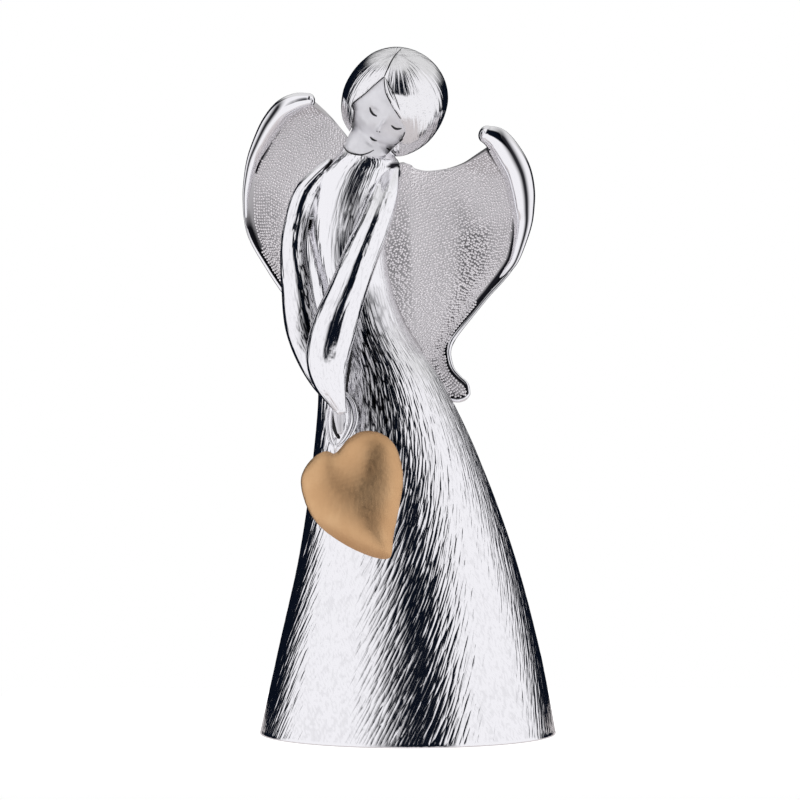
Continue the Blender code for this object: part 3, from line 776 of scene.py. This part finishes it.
def makeHead():
    skull = wrapSheet("headSkin", eggPlace(0.0), 96, 64)
    neck = wrapSheet("neckTube", sweepPlace(head["neck"], 0.88), 64, 60)
    crown = wrapSheet("crown", crownPlace, 64, 40)
    combine(skull, "UNION", (neck, crown))
    oneSkin(skull, head["voxel"], head["smoothSteps"])
    spots, facing = pointsOf(skull), normalsOf(skull)
    side, above = faceAxes(spots)
    front = ease(0.15, 0.5, facing @ headAhead)
    for x, z, wide, tall, amount in faceForms:
        swell = amount * np.exp(-((side - x) / wide) ** 2 - ((above - z) / tall) ** 2) * front
        spots = spots + headAhead * swell[:, None]
    setPoints(skull, spots)
    return skull


headSkin = makeHead()
print("head:", len(headSkin.data.polygons), "faces")


hair = {
    "rows": (                          # height, half width, half depth in the head's own axes
        (15.0, 1.2, 1.2), (13.9, 5.6, 5.8), (11.4, 9.8, 10.2), (7.8, 12.8, 13.3), (3.8, 14.3, 14.8),
        (-0.5, 14.9, 15.2), (-5.0, 14.6, 14.6), (-9.0, 13.2, 12.9), (-12.2, 11.2, 10.8),
        (-13.6, 9.4, 9.0)),
    "shift": -0.4,
    "opening": (                       # x and z, down the hairline, round the jaw, up the fringe
        (-6.9, 189.6), (-9.6, 187.4), (-12.6, 184.8), (-15.4, 182.9), (-16.0, 182.0), (-15.6, 180.6),
        (-15.9, 178.4), (-16.8, 175.0), (-20.0, 170.0), (-14.0, 165.5), (-7.0, 167.6), (-4.6, 169.4),
        (-3.2, 170.6), (-1.5, 172.4), (-0.8, 174.0), (-1.2, 175.8), (-2.3, 177.6), (-4.4, 181.1),
        (-6.2, 184.7), (-6.6, 188.0)),
    "lock": ((-6.5, 189.0, 0.20), (-6.1, 187.2, 0.42), (-5.1, 184.5, 0.60), (-3.7, 181.5, 0.62),
             (-2.3, 178.8, 0.46), (-1.5, 177.2, 0.15)),
    "openingBack": 1.0,
    "crownPole": (-6.7, 3.0, 12.5),      # sideways, ahead, up: where the strands part
    "strands": {"width": 0.60, "length": 8.0, "lift": 0.010, "tilt": 0.018, "spread": 0.55,
                "groove": 0.12, "near": 18},
    "layStretch": 9.0,
}


def placeHair(u, v):
    rows = np.array(hair["rows"])
    keys = np.clip((v - 0.03) / 0.94, 0, 1) * (len(rows) - 1)
    height, wide, deep = alongRows(rows, keys).T
    close = np.where(v <= 0.0, 0.0, np.where(v < 0.03, v / 0.03, np.where(v > 0.97, (1 - v) / 0.03, 1.0)))
    height = height + np.where(v < 0.03, 0.12 * (1 - close), np.where(v > 0.97, -0.5 * (1 - close), 0))
    turn = 2 * math.pi * u
    return fromHead(wide * close * np.cos(turn), hair["shift"] + deep * close * np.sin(turn), height)


hairPole = unit(fromHead(*hair["crownPole"]) - headCentre)


def strandFlow(spots, facing):
    # strands run away from the crown, down every side of the head
    return unit(facing * (facing @ hairPole)[:, None] - hairPole + 1e-6)


def hairLay(u, v, points):
    # turn about the crown's axis picks the strand; the fall from the crown runs along it
    out = unit(points - headCentre)
    sideways = unit(np.cross(hairPole, headAhead))
    ahead = np.cross(sideways, hairPole)
    turn = np.arctan2(out @ sideways, out @ ahead)
    fall = np.arccos(np.clip(out @ hairPole, -1, 1))
    return np.stack([14 * np.cos(turn), 14 * np.sin(turn), fall * 14.5 / hair["layStretch"]], 1)


def openingPrism():
    rows = np.array(hair["opening"])

    def place(u, v):
        edge = alongRows(rows, u * len(rows) % len(rows), closed=True)
        k = np.rint(v * 3)
        depth = np.where(k <= 1, -45.0, hair["openingBack"])
        middle = rows.mean(axis=0)
        close = np.where((k == 0) | (k == 3), 0.0, 1.0)
        flat = middle + (edge - middle) * close[:, None]
        return np.stack([flat[:, 0], depth, flat[:, 1]], 1)
    return wrapSheet("faceOpening", place, 130, 3)


def makeHair():
    shell = wrapSheet("hairShell", placeHair, 240, 170, lay=hairLay)
    chase(shell, strandFlow, hair["strands"], 41)
    combine(shell, "DIFFERENCE", (openingPrism(), wrapSheet("headTool", eggPlace(0.3), 64, 40)))
    smoothBelow(shell, 38)
    return shell


def makeLock(shell):
    # the raised lock that frames the fringe
    trees, rows = [surfaceTree(shell)], []
    for x, z, half in alongRows(hair["lock"], np.linspace(0, len(hair["lock"]) - 1, 24)):
        depth = frontDepth(trees, x, z)
        if depth is not None:
            rows.append((x, depth - 0.05, z, half))
    return wrapSheet("hairLock", sweepPlace(rows, 0.8), 24, 120, lay=sweepLay(rows, 8))


hairShell = makeHair()
hairLock = makeLock(hairShell)
print("hair:", len(hairShell.data.polygons), "faces")


wings = {
    # the dark streak along each rim's front is a painted reflection: lean of the rim's face where it lies,
    # its spread, and the heights it fades in and out at
    "right": {
        "root": ((10.4, 10.4, 98.9), (1.2, 12.4, 110.1), (-4.7, 11.4, 120.4), (-8.8, 11.4, 132.2),
                 (-11.1, 11.9, 143.9), (-11.1, 12.2, 155.6), (-9.6, 10.6, 164.3)),
        "outer": ((17.7, 10.0, 98.8), (17.4, 10.4, 101.2), (13.4, 11.5, 105.4), (12.1, 13.0, 109.8),
                  (13.0, 14.5, 114.5), (22.1, 16.0, 126.3), (31.3, 16.5, 137.5), (34.9, 16.6, 151.4),
                  (34.3, 15.8, 157.3), (32.5, 14.6, 163.2), (28.9, 13.0, 167.8), (24.0, 11.6, 171.2)),
        "tail": ((10.4, 10.4, 98.9), (12.2, 10.5, 97.6), (14.4, 10.2, 97.1), (16.4, 10.0, 97.5),
                 (17.7, 10.0, 98.8)),
        "top": ((-9.6, 10.6, 164.3), (-1.4, 10.5, 166.4), (1.2, 12.5, 165.0), (5.1, 15.0, 164.2),
                (11.0, 17.5, 164.9), (16.0, 16.8, 166.4), (19.8, 14.6, 168.6), (24.0, 11.6, 171.2)),
        "rim": ((22.8, 9.0, 174.7, 2.6), (26.2, 10.0, 172.8, 3.8), (29.5, 11.0, 168.3, 4.3),
                (31.9, 12.0, 163.8, 4.3), (33.2, 13.0, 158.6, 4.1), (33.7, 14.0, 153.9, 3.6),
                (33.9, 15.0, 149.2, 2.8), (33.0, 15.9, 143.7, 2.0), (31.2, 16.2, 138.0, 1.4),
                (28.2, 16.4, 133.8, 1.05), (25.0, 16.2, 129.9, 0.85), (21.9, 15.9, 126.0, 0.7)),
        "reflectionStreak": (0.30, 0.20, 112.0, 178.0), "hemRows": 9, "seed": 51,
    },
    "left": {
        "root": ((-17.5, 17.0, 102.8), (-18.5, 14.9, 114.5), (-20.5, 14.0, 126.3), (-22.0, 13.5, 138.1),
                 (-22.0, 12.9, 149.8), (-19.9, 11.4, 161.5), (-15.2, 10.2, 169.0)),
        "outer": ((-24.2, 17.0, 100.4), (-28.2, 18.0, 114.5), (-32.4, 19.5, 122.8), (-40.8, 21.5, 135.3),
                  (-47.2, 22.5, 147.2), (-48.0, 22.3, 160.5), (-46.6, 21.4, 166.5), (-41.5, 18.3, 178.2),
                  (-38.0, 16.6, 182.2), (-33.0, 14.8, 184.6), (-29.2, 13.6, 185.0)),
        "tail": ((-17.5, 17.0, 102.8), (-20.8, 17.5, 100.2), (-24.2, 17.0, 100.4)),
        "top": ((-15.2, 10.2, 169.0), (-17.6, 14.5, 173.9), (-21.7, 17.5, 179.1), (-25.9, 16.4, 182.8),
                (-29.2, 13.6, 185.0)),
        "rim": ((-28.9, 12.0, 184.8, 2.1), (-32.5, 13.0, 184.1, 2.9), (-36.4, 14.0, 182.1, 3.2),
                (-40.0, 16.0, 178.1, 3.1), (-43.0, 18.0, 173.2, 2.6), (-45.7, 20.0, 167.7, 1.9),
                (-47.3, 21.3, 161.3, 1.35), (-47.9, 22.1, 155.6, 1.0), (-47.4, 22.4, 149.0, 0.85),
                (-44.6, 22.2, 141.8, 0.7)),
        "reflectionStreak": (-0.50, 0.16, 138.0, 187.0), "hemRows": 6, "seed": 61,
    },
    "thickness": 2.0, "rootRadius": 3.0, "rootShift": (0.37, 0.43, 0.29), "edgeRadius": 0.85,
    "bead": {"pitch": 0.90, "row": 0.82, "radius": 0.45, "height": 0.42, "jitter": 0.14},
}


def wingPoint(edges, u, v):
    # a sheet spanned by its four edges
    root, outer = byLength(edges["root"], v), byLength(edges["outer"], v)
    tail, top = byLength(edges["tail"], u), byLength(edges["top"], u)
    u, v = u[:, None], v[:, None]
    low = np.array(edges["root"][0]) * (1 - u) + np.array(edges["outer"][0]) * u
    high = np.array(edges["root"][-1]) * (1 - u) + np.array(edges["outer"][-1]) * u
    return root * (1 - u) + outer * u + tail * (1 - v) + top * v - low * (1 - v) - high * v


def wingNormal(edges, u, v):
    step = 0.004
    du = wingPoint(edges, np.minimum(u + step, 1), v) - wingPoint(edges, np.maximum(u - step, 0), v)
    dv = wingPoint(edges, u, np.minimum(v + step, 1)) - wingPoint(edges, u, np.maximum(v - step, 0))
    normal = unit(np.cross(du, dv))
    return normal * np.where(normal[:, 1:2] < 0, 1, -1)      # towards the front


def makeSheet(name, edges):
    sheet = wrapSheet(name, lambda u, v: wingPoint(edges, u, v), 70, 130, welded=False)
    addModifier(sheet, "SOLIDIFY", thickness=wings["thickness"] * mm, offset=0.0)
    applyAll(sheet)
    smoothBelow(sheet, 50)
    return sheet


def beadSpots(edges, rim, seed):
    # beads stand in rows that follow the outer edge and loosen towards the root
    bead = wings["bead"]
    rng = np.random.default_rng(seed)
    fineV = np.linspace(0.0, 1.0, 500)
    fineU = np.linspace(0.0, 1.0, 120)
    grid = np.array([wingPoint(edges, np.full(len(fineV), u), fineV) for u in fineU])
    lengths = np.concatenate([np.zeros((1, len(fineV))),
                              np.cumsum(np.linalg.norm(np.diff(grid, axis=0), axis=2), axis=0)])
    total = lengths[-1]
    rimTree = layTree(alongRows(rim, np.linspace(0, len(rim) - 1, 120))[:, :3])
    rimRadius = alongRows(rim, np.linspace(0, len(rim) - 1, 120))[:, 3]
    found = []
    for row in range(int(total.max() / bead["row"])):
        inward = 1.2 + row * bead["row"]
        u = np.array([np.interp(total[k] - inward, lengths[:, k], fineU) for k in range(len(fineV))])
        real = total > inward + 0.8
        line = wingPoint(edges, u, fineV)
        reach = np.concatenate([[0], np.cumsum(np.linalg.norm(np.diff(line, axis=0), axis=1))])
        loose = bead["jitter"] * min(1.0, 0.25 + row * 0.05)
        marks = np.arange((row % 2) * 0.5 + 0.6, reach[-1] / bead["pitch"]) * bead["pitch"]
        marks = marks + rng.normal(0, loose, len(marks))
        v = np.interp(marks, reach, fineV)
        u = np.interp(v, fineV, u) + rng.normal(0, loose, len(marks)) / np.maximum(
            np.interp(v, fineV, total), 1)
        keep = (np.interp(v, fineV, real.astype(float)) > 0.99) & (v > 0.006) & (v < 0.992) & (u > 0.01)
        found.append(np.stack([np.clip(u, 0, 1), v], 1)[keep])
    u, v = np.concatenate(found).T
    spots = wingPoint(edges, u, v)
    clear = []
    for k, spot in enumerate(spots):
        _, index, distance = rimTree.find(spot)
        clear.append(distance > rimRadius[index] + 0.9)
    clear = np.array(clear)
    return u[clear], v[clear]


beadBatch = 120


def makeBeads(name, edges, rim, seed):
    # one low dome a bead, on both faces of the sheet
    bead = wings["bead"]
    u, v = beadSpots(edges, rim, seed)
    spots, front = wingPoint(edges, u, v), wingNormal(edges, u, v)
    rng = np.random.default_rng(seed + 5)
    mesh = bpy.data.meshes.new(name)
    bm, batch = bmesh.new(), bmesh.new()
    for side in (1, -1):
        for k, (spot, facing) in enumerate(zip(spots, front * side)):
            if k % beadBatch == beadBatch - 1:      # hand finished beads over: the bmesh stays small
                batch.to_mesh(mesh)
                bm.from_mesh(mesh)
                batch.free()
                batch = bmesh.new()
            size = bead["radius"] * rng.uniform(0.78, 1.12)
            place = Vector((spot + facing * (wings["thickness"] / 2 - 0.05)) * mm)
            turn = Vector(facing).to_track_quat("Z", "Y").to_matrix().to_4x4()
            shape = Matrix.Diagonal((size * mm, size * mm, bead["height"] * mm * rng.uniform(0.8, 1.15), 1))
            bmesh.ops.create_icosphere(batch, subdivisions=1, radius=1.0,
                                       matrix=Matrix.Translation(place) @ turn @ shape)
    batch.to_mesh(mesh)
    bm.from_mesh(mesh)
    batch.free()
    bm.to_mesh(mesh)
    bm.free()
    mesh.shade_smooth()
    print(name, len(spots), "beads a side")
    return linkNew(name, mesh)


def edgeRows(points, radius):
    rows = byLength(points, np.linspace(0, 1, 24))
    taper = radius * (0.75 + 0.25 * np.sin(np.linspace(0, math.pi, 24)))
    return np.column_stack([rows, taper])


def makeWing(side):
    edges, rim = wings[side], wings[side]["rim"]
    sheet = makeSheet(side + "WingSheet", edges)
    roll = wrapSheet(side + "WingRim", sweepPlace(rim, 0.95), 72, 220, lay=sweepLay(rim, 12))
    shift = wings["rootShift"]
    rootRows = [(*np.add(spot, shift), wings["rootRadius"]) for spot in edges["root"][1:-1]]
    joinInto(sheet, [wrapSheet("root", sweepPlace(rootRows, 1.0), 40, 80)])
    borders = (("hem", np.array(edges["outer"])[: edges["hemRows"]], 160), ("tail", edges["tail"], 40))
    joinInto(roll, [wrapSheet(name, sweepPlace(edgeRows(points, wings["edgeRadius"]), 1.0), 20, along)
                    for name, points, along in borders])
    # a painted reflection: a dark streak along the front of the polished rim
    lean, spread, low, high = edges["reflectionStreak"]
    spots, facing = pointsOf(roll), normalsOf(roll)
    reflectionStreak = np.exp(-((facing[:, 0] - lean) / spread) ** 2) * (facing[:, 1] < 0)
    reflectionStreak *= ease(low, low + 12, spots[:, 2]) * (1 - ease(high - 5, high, spots[:, 2]))
    mark(roll, "patinaAndPaintedShade", reflectionStreak)
    return sheet, roll, makeBeads(side + "WingBeads", edges, rim, edges["seed"])


rightWing, leftWing = makeWing("right"), makeWing("left")
print("wings")


pendantShape = {
    "loop": ((-17.3, 98.2, 0.9), (-15.9, 95.2, 1.25), (-15.6, 91.4, 1.3), (-17.0, 87.7, 1.15),
             (-18.9, 85.3, 0.75), (-20.6, 84.6, 0.5), (-21.9, 86.4, 0.85), (-22.6, 90.4, 1.0),
             (-22.3, 94.4, 0.9), (-21.2, 98.0, 0.8), (-19.4, 99.6, 0.8)),
    "loopTopY": -15.6, "loopSlope": 0.36, "loopHalfDepth": 0.65,
    "centre": (-16.0, -27.4, 72.0), "halfThickness": 5.2, "swellReach": 14.5, "swellPower": 2.0,
    "voxel": 0.5, "smoothSteps": 8, "pillowSteps": 110,
    "lean": math.radians(13.0), "turn": math.radians(2.5),
    "outline": ((-4.6, 10.6), (-7.0, 11.3), (-10.6, 9.6), (-13.6, 5.8), (-14.4, 1.8), (-12.6, -4.6),
                (-9.2, -9.7), (-4.2, -13.6), (1.2, -16.6), (6.8, -18.7), (10.7, -18.9), (11.6, -16.8),
                (12.0, -12.4), (13.4, -5.4), (14.6, 2.0), (14.2, 7.4), (12.2, 13.0), (8.4, 16.2),
                (3.4, 16.9), (-0.8, 14.8)),
    "eyeCentre": (-20.6, -21.0, 84.6), "eyeRadius": 2.0, "eyeWire": 0.4,
}


def makeLoop():
    shape = pendantShape
    top = shape["loop"][-1][1]
    rows = [(x, shape["loopTopY"] - (top - z) * shape["loopSlope"], z, half)
            for x, z, half in shape["loop"]]

    def ribbon(a, b, v):
        # flat ribbon with a groove down its front
        wide = np.sign(a) * np.abs(a) ** 0.7
        deep = np.sign(b) * np.abs(b) ** 0.6
        return wide, deep * (1 - 0.45 * np.exp(-(a / 0.25) ** 2) * (b < 0))
    return wrapSheet("ribbonLoop", sweepPlace(rows, lambda half: shape["loopHalfDepth"] + 0 * half,
                                              closed=True, crossShape=ribbon), 40, 180)


def placeHeart(u, v):
    # the outline shrinks to a pole in front and behind, and the form swells away from it
    shape = pendantShape
    edge = alongRows(shape["outline"], u * len(shape["outline"]), closed=True)
    angle = math.pi * (v - 0.5)
    shrink = np.where((v <= 0) | (v >= 1), 0, np.cos(angle))
    x, z = edge[:, 0] * shrink, edge[:, 1] * shrink
    rim = alongRows(shape["outline"], np.linspace(0, len(shape["outline"]), 240), closed=True)
    inward = np.array([np.hypot(rim[:, 0] - a, rim[:, 1] - b).min() for a, b in zip(x, z)])
    swell = 1 - np.clip(inward / shape["swellReach"], 0, 1)
    power = shape["swellPower"]
    offset = shape["halfThickness"] * (1 - swell ** power) ** (1 / power) * np.sign(angle)
    depth = offset + z * math.tan(shape["lean"]) - x * math.tan(shape["turn"])
    return np.stack([x, depth, z], 1) + np.array(shape["centre"])


def makeHeart():
    shape = pendantShape
    heart = wrapSheet("heartSkin", placeHeart, 200, 90)
    oneSkin(heart, shape["voxel"], shape["smoothSteps"], shape["pillowSteps"])
    heart.visible_glossy = False           # the skirt behind it stays clean silver
    return heart


def makeEye():
    shape = pendantShape
    centre = np.array(shape["eyeCentre"])

    def place(u, v):
        ring = shape["eyeRadius"] + shape["eyeWire"] * np.cos(2 * math.pi * u)
        turn = 2 * math.pi * v
        return centre + np.stack([shape["eyeWire"] * np.sin(2 * math.pi * u), ring * np.cos(turn),
                                  ring * np.sin(turn)], 1)
    return wrapSheet("heartRing", place, 16, 48)


ribbonLoop = makeLoop()
heartSkin = makeHeart()
heartRing = makeEye()
print("loop and heart")


drawn = {                              # x and z across the front, with the line's half width
    "parting": (((-2.0, 198.2), (-3.6, 196.2), (-5.0, 193.8), (-6.1, 191.2), (-6.8, 189.5)), 0.17),
    "hairline": (((-6.8, 189.5), (-9.6, 187.3), (-12.5, 184.8), (-15.3, 182.8), (-16.0, 182.0),
                  (-15.6, 180.4), (-15.3, 179.4), (-15.8, 177.6)), 0.20),
    "fringe": (((-6.8, 189.0), (-6.7, 187.6), (-6.2, 184.7), (-4.4, 181.1), (-2.2, 177.6)), 0.20),
    "lockEdge": (((-6.5, 189.3), (-5.7, 187.8), (-3.9, 184.2), (-2.9, 181.6), (-1.9, 178.5)), 0.13),
    "leftEye": (((-10.9, 180.9), (-10.6, 179.9), (-9.9, 179.0), (-9.0, 178.5)), 0.33),
    "rightEye": (((-4.7, 175.8), (-4.0, 175.2), (-3.1, 174.9), (-1.9, 175.0)), 0.33),
    "nostrils": (((-9.1, 174.4), (-8.7, 174.2)), 0.13),
    "nostril": (((-8.3, 174.15), (-8.0, 174.0)), 0.15),
    # painted shadows on the skirt beside the loop and the cuff
    "loopShade": (((-21.9, 94.4), (-21.5, 91.5), (-20.7, 88.6), (-19.9, 86.6)), 0.75),
    "cuffShade": (((-17.6, 99.4), (-15.8, 96.7), (-14.9, 93.4), (-15.1, 88.6)), 0.34),
    "mouth": (((-10.8, 172.9), (-10.0, 172.3), (-9.1, 171.9)), 0.42),
    # painted shadow on the skirt beside the sleeve's edge
    "sleeveShadow": (((-12.6, 133.0), (-15.0, 125.5), (-16.2, 118.0), (-16.5, 110.0), (-17.5, 102.0),
                    (-18.2, 96.0)), 0.45),
    "jaw": (((-1.0, 174.0), (-1.4, 172.6), (-2.4, 171.4), (-3.8, 170.7)), 0.28),
    "collar": (((-18.8, 171.9), (-18.4, 170.2), (-17.2, 168.8), (-15.4, 168.1), (-13.4, 167.9),
                (-11.4, 168.4), (-9.9, 169.2)), 0.22),
    "nape": (((-6.2, 169.9), (-5.4, 169.5), (-4.3, 168.5), (-3.2, 167.5), (-1.9, 166.5)), 0.24),
}


def drawLine(name, trees):
    # a fine tapered cord of black laid along the front of the surface: patina in the incised lines, painted
    # shadow in the cords beside the loop, the cuff and the sleeve's edge
    points, half = drawn[name]
    flat = alongRows(points, np.linspace(0, len(points) - 1, 40))
    found = [(x, frontDepth(trees, x, z), z) for x, z in flat]
    found = [spot for spot in found if spot[1] is not None]
    rows = []
    for k, (x, y, z) in enumerate(found):
        level = np.median([spot[1] for spot in found[max(k - 3, 0): k + 4]])
        taper = 0.45 + 0.55 * math.sin(math.pi * (k + 0.5) / len(found))
        rows.append((x, level - half * 0.30, z, half * taper))
    return wrapSheet(name + "Line", sweepPlace(rows, 0.8), 12, 120)


lineTrees = [surfaceTree(piece) for piece in (headSkin, hairShell, dressSkin)]
lines = [drawLine(name, lineTrees) for name in drawn]
for line in lines:
    finishPiece(line, patina, figure, "satin_silver")
print("patina lines:", len(lines))


cleanShoulder = (146, 156, 164)        # patina and painted shade in the seams fade out between the first two heights, back above the last
nearness(dressSkin, [rightSleeve, leftSleeve], 1.1)
nearness(rightSleeve, [leftSleeve, dressSkin], 0.9)
nearness(leftSleeve, [dressSkin], 0.7)
# painted shade and painted dark reflections laid into the stroke grooves: two patches on the dress front,
# one on the right sleeve beside the torso
blacken(dressSkin, -7.5, -0.10, 6.5, 78, 134, 1.2)
blacken(dressSkin, -17.4, 0.08, 2.4, 132, 162, 1.6)
blacken(rightSleeve, -29.0, 0.0, 2.2, 108, 154, 1.8)

finishPiece(dressSkin, dressSilver, figure, "silver", "dress_shell")
finishPiece(rightSleeve, sleeveSilver, figure, "silver", "sleeve_right")
finishPiece(leftSleeve, sleeveSilver, figure, "silver", "sleeve_left")
finishPiece(hands, faceSilver, figure, "satin_silver", "hands")
finishPiece(headSkin, faceSilver, figure, "satin_silver", "head")
finishPiece(hairShell, hairSilver, figure, "silver", "hair_cap")
finishPiece(hairLock, hairSilver, figure, "silver", "hair_cap")
for (sheet, roll, beads), node in ((rightWing, "wing_right"), (leftWing, "wing_left")):
    # painted shade: the wing sheet darkens where it meets the rim
    nearness(sheet, [roll], 1.2)
    finishPiece(sheet, shadedSheetSilver, figure, "silver", node)
    finishPiece(roll, rimSilver, figure, "silver", node)
    finishPiece(beads, beadSilver, figure, "silver", node)
finishPiece(ribbonLoop, rimSilver, loopBody, "silver", "ribbon_loop")
finishPiece(heartSkin, heartGold, pendant, "gold", "heart")
finishPiece(heartRing, rimSilver, pendant, "silver", "heart_eye")
plainNodes = {"felt_pad": feltBlack, "base_plug": castPlaster, "ballast": castPlaster}
for name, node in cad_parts.items():
    if not node.hide_render:
        node.data.materials.clear()
        node.data.materials.append(plainNodes.get(name, turnedSteel))
print("finishes")


studio = {
    "tent": ((-180, 0.0), (-118, 0.0), (-108, 1.0), (-32, 1.0), (-18, 0.45), (-7, 0.0), (27, 0.0),
             (37, 1.0), (114, 1.0), (123, 0.0), (180, 0.0)),
    "table": ((-180, 0.0), (-118, 0.0), (-108, 1.0), (114, 1.0), (123, 0.0), (180, 0.0)),
    "tableFrom": 0.03, "tableTo": 0.12, "slant": 0.14, "slantFrom": 0.48,
    "ground": (0.60, 0.565, 0.565), "groundFrom": -0.84, "groundTo": -0.66,
    "white": (0.945, 0.94, 0.965), "black": (0.003, 0.005, 0.011), "ceiling": 0.76,
    "ceilingLean": (0.22, 0.42, 1.0), "ceilingFrom": 0.70, "ceilingTo": 0.88,
    "floorSize": 0.13, "floorTone": (0.42, 0.39, 0.39),
    "cameraAt": (-2.3, -1000.0, 115.0), "lookAt": (-2.3, 0.0, 97.15), "lens": 155.2,
}


def makeFloor():
    bm = bmesh.new()
    bmesh.ops.create_grid(bm, x_segments=1, y_segments=1, size=studio["floorSize"])
    mesh = bpy.data.meshes.new("floor")
    bm.to_mesh(mesh)
    bm.free()
    floor = linkNew("floor", mesh)
    material, graph, shader = newMaterial("paleFloor")
    seen = addNode(graph, "LightPath").outputs["Is Camera Ray"]
    glow = mixed(graph, seen, (*studio["floorTone"], 1), (*grey(1.1), 1))
    feed(graph, shader, {"Base Color": (0.35, 0.34, 0.34, 1), "Roughness": 0.8, "Emission Strength": 1.0,
                         "Emission Color": glow})
    floor.data.materials.append(material)


def makeStudio():
    # a bright tent: a dark gap in front, where the viewer stands, and a dark room behind
    world = bpy.data.worlds.new("studioTent")
    world.use_nodes = True
    graph = world.node_tree
    graph.nodes.clear()
    way = addNode(graph, "TexCoord").outputs["Generated"]
    parts = addNode(graph, "SeparateXYZ", {0: way}).outputs
    turn = maths(graph, "ARCTAN2", parts["X"], maths(graph, "MULTIPLY", parts["Y"], -1))
    share = maths(graph, "MULTIPLY_ADD", turn, 0.5 / math.pi, 0.5)
    above = maths(graph, "SUBTRACT", parts["Z"], studio["slantFrom"], use_clamp=True)
    slant = maths(graph, "MULTIPLY_ADD", above, -studio["slant"], share)
    bands = []
    for key in ("table", "tent"):
        stops = [((bearing + 180) / 360, tuple(dark + (light - dark) * tone for dark, light in
                                               zip(studio["black"], studio["white"])))
                 for bearing, tone in studio[key]]
        bands.append(ramp(graph, slant, *stops))
    low = greys(graph, parts["Z"], (studio["tableFrom"], 0), (studio["tableTo"], 1))
    lean = addNode(graph, "VectorMath", {0: way, 1: studio["ceilingLean"]}, operation="DOT_PRODUCT")
    roof = greys(graph, lean.outputs["Value"], (studio["ceilingFrom"], 0), (studio["ceilingTo"], 1))
    lifted = maths(graph, "MULTIPLY_ADD", parts["Z"], 0.5, 0.5)
    deep = greys(graph, lifted, ((studio["groundFrom"] + 1) / 2, 1), ((studio["groundTo"] + 1) / 2, 0))
    sides = mixed(graph, deep, mixed(graph, low, *bands), (*studio["ground"], 1))
    wholeRoom = mixed(graph, roof, sides, (*grey(studio["ceiling"]), 1))
    seen = addNode(graph, "LightPath").outputs["Is Camera Ray"]
    light = addNode(graph, "Background", {"Color": mixed(graph, seen, wholeRoom, (1, 1, 1, 1))})
    addNode(graph, "OutputWorld", {"Surface": light.outputs[0]})
    bpy.context.scene.world = world


def makeCamera():
    lens = bpy.data.cameras.new("frontCamera")
    camera = linkNew("frontCamera", lens)
    camera.location = Vector(studio["cameraAt"]) * mm
    way = Vector(studio["lookAt"]) * mm - camera.location
    camera.rotation_euler = way.to_track_quat("-Z", "Y").to_euler()
    lens.lens = studio["lens"]
    lens.sensor_width = 36
    lens.clip_start = 0.01
    bpy.context.scene.camera = camera


makeFloor()
makeStudio()
makeCamera()
bpy.context.scene.view_settings.view_transform = "Standard"
print("stage")
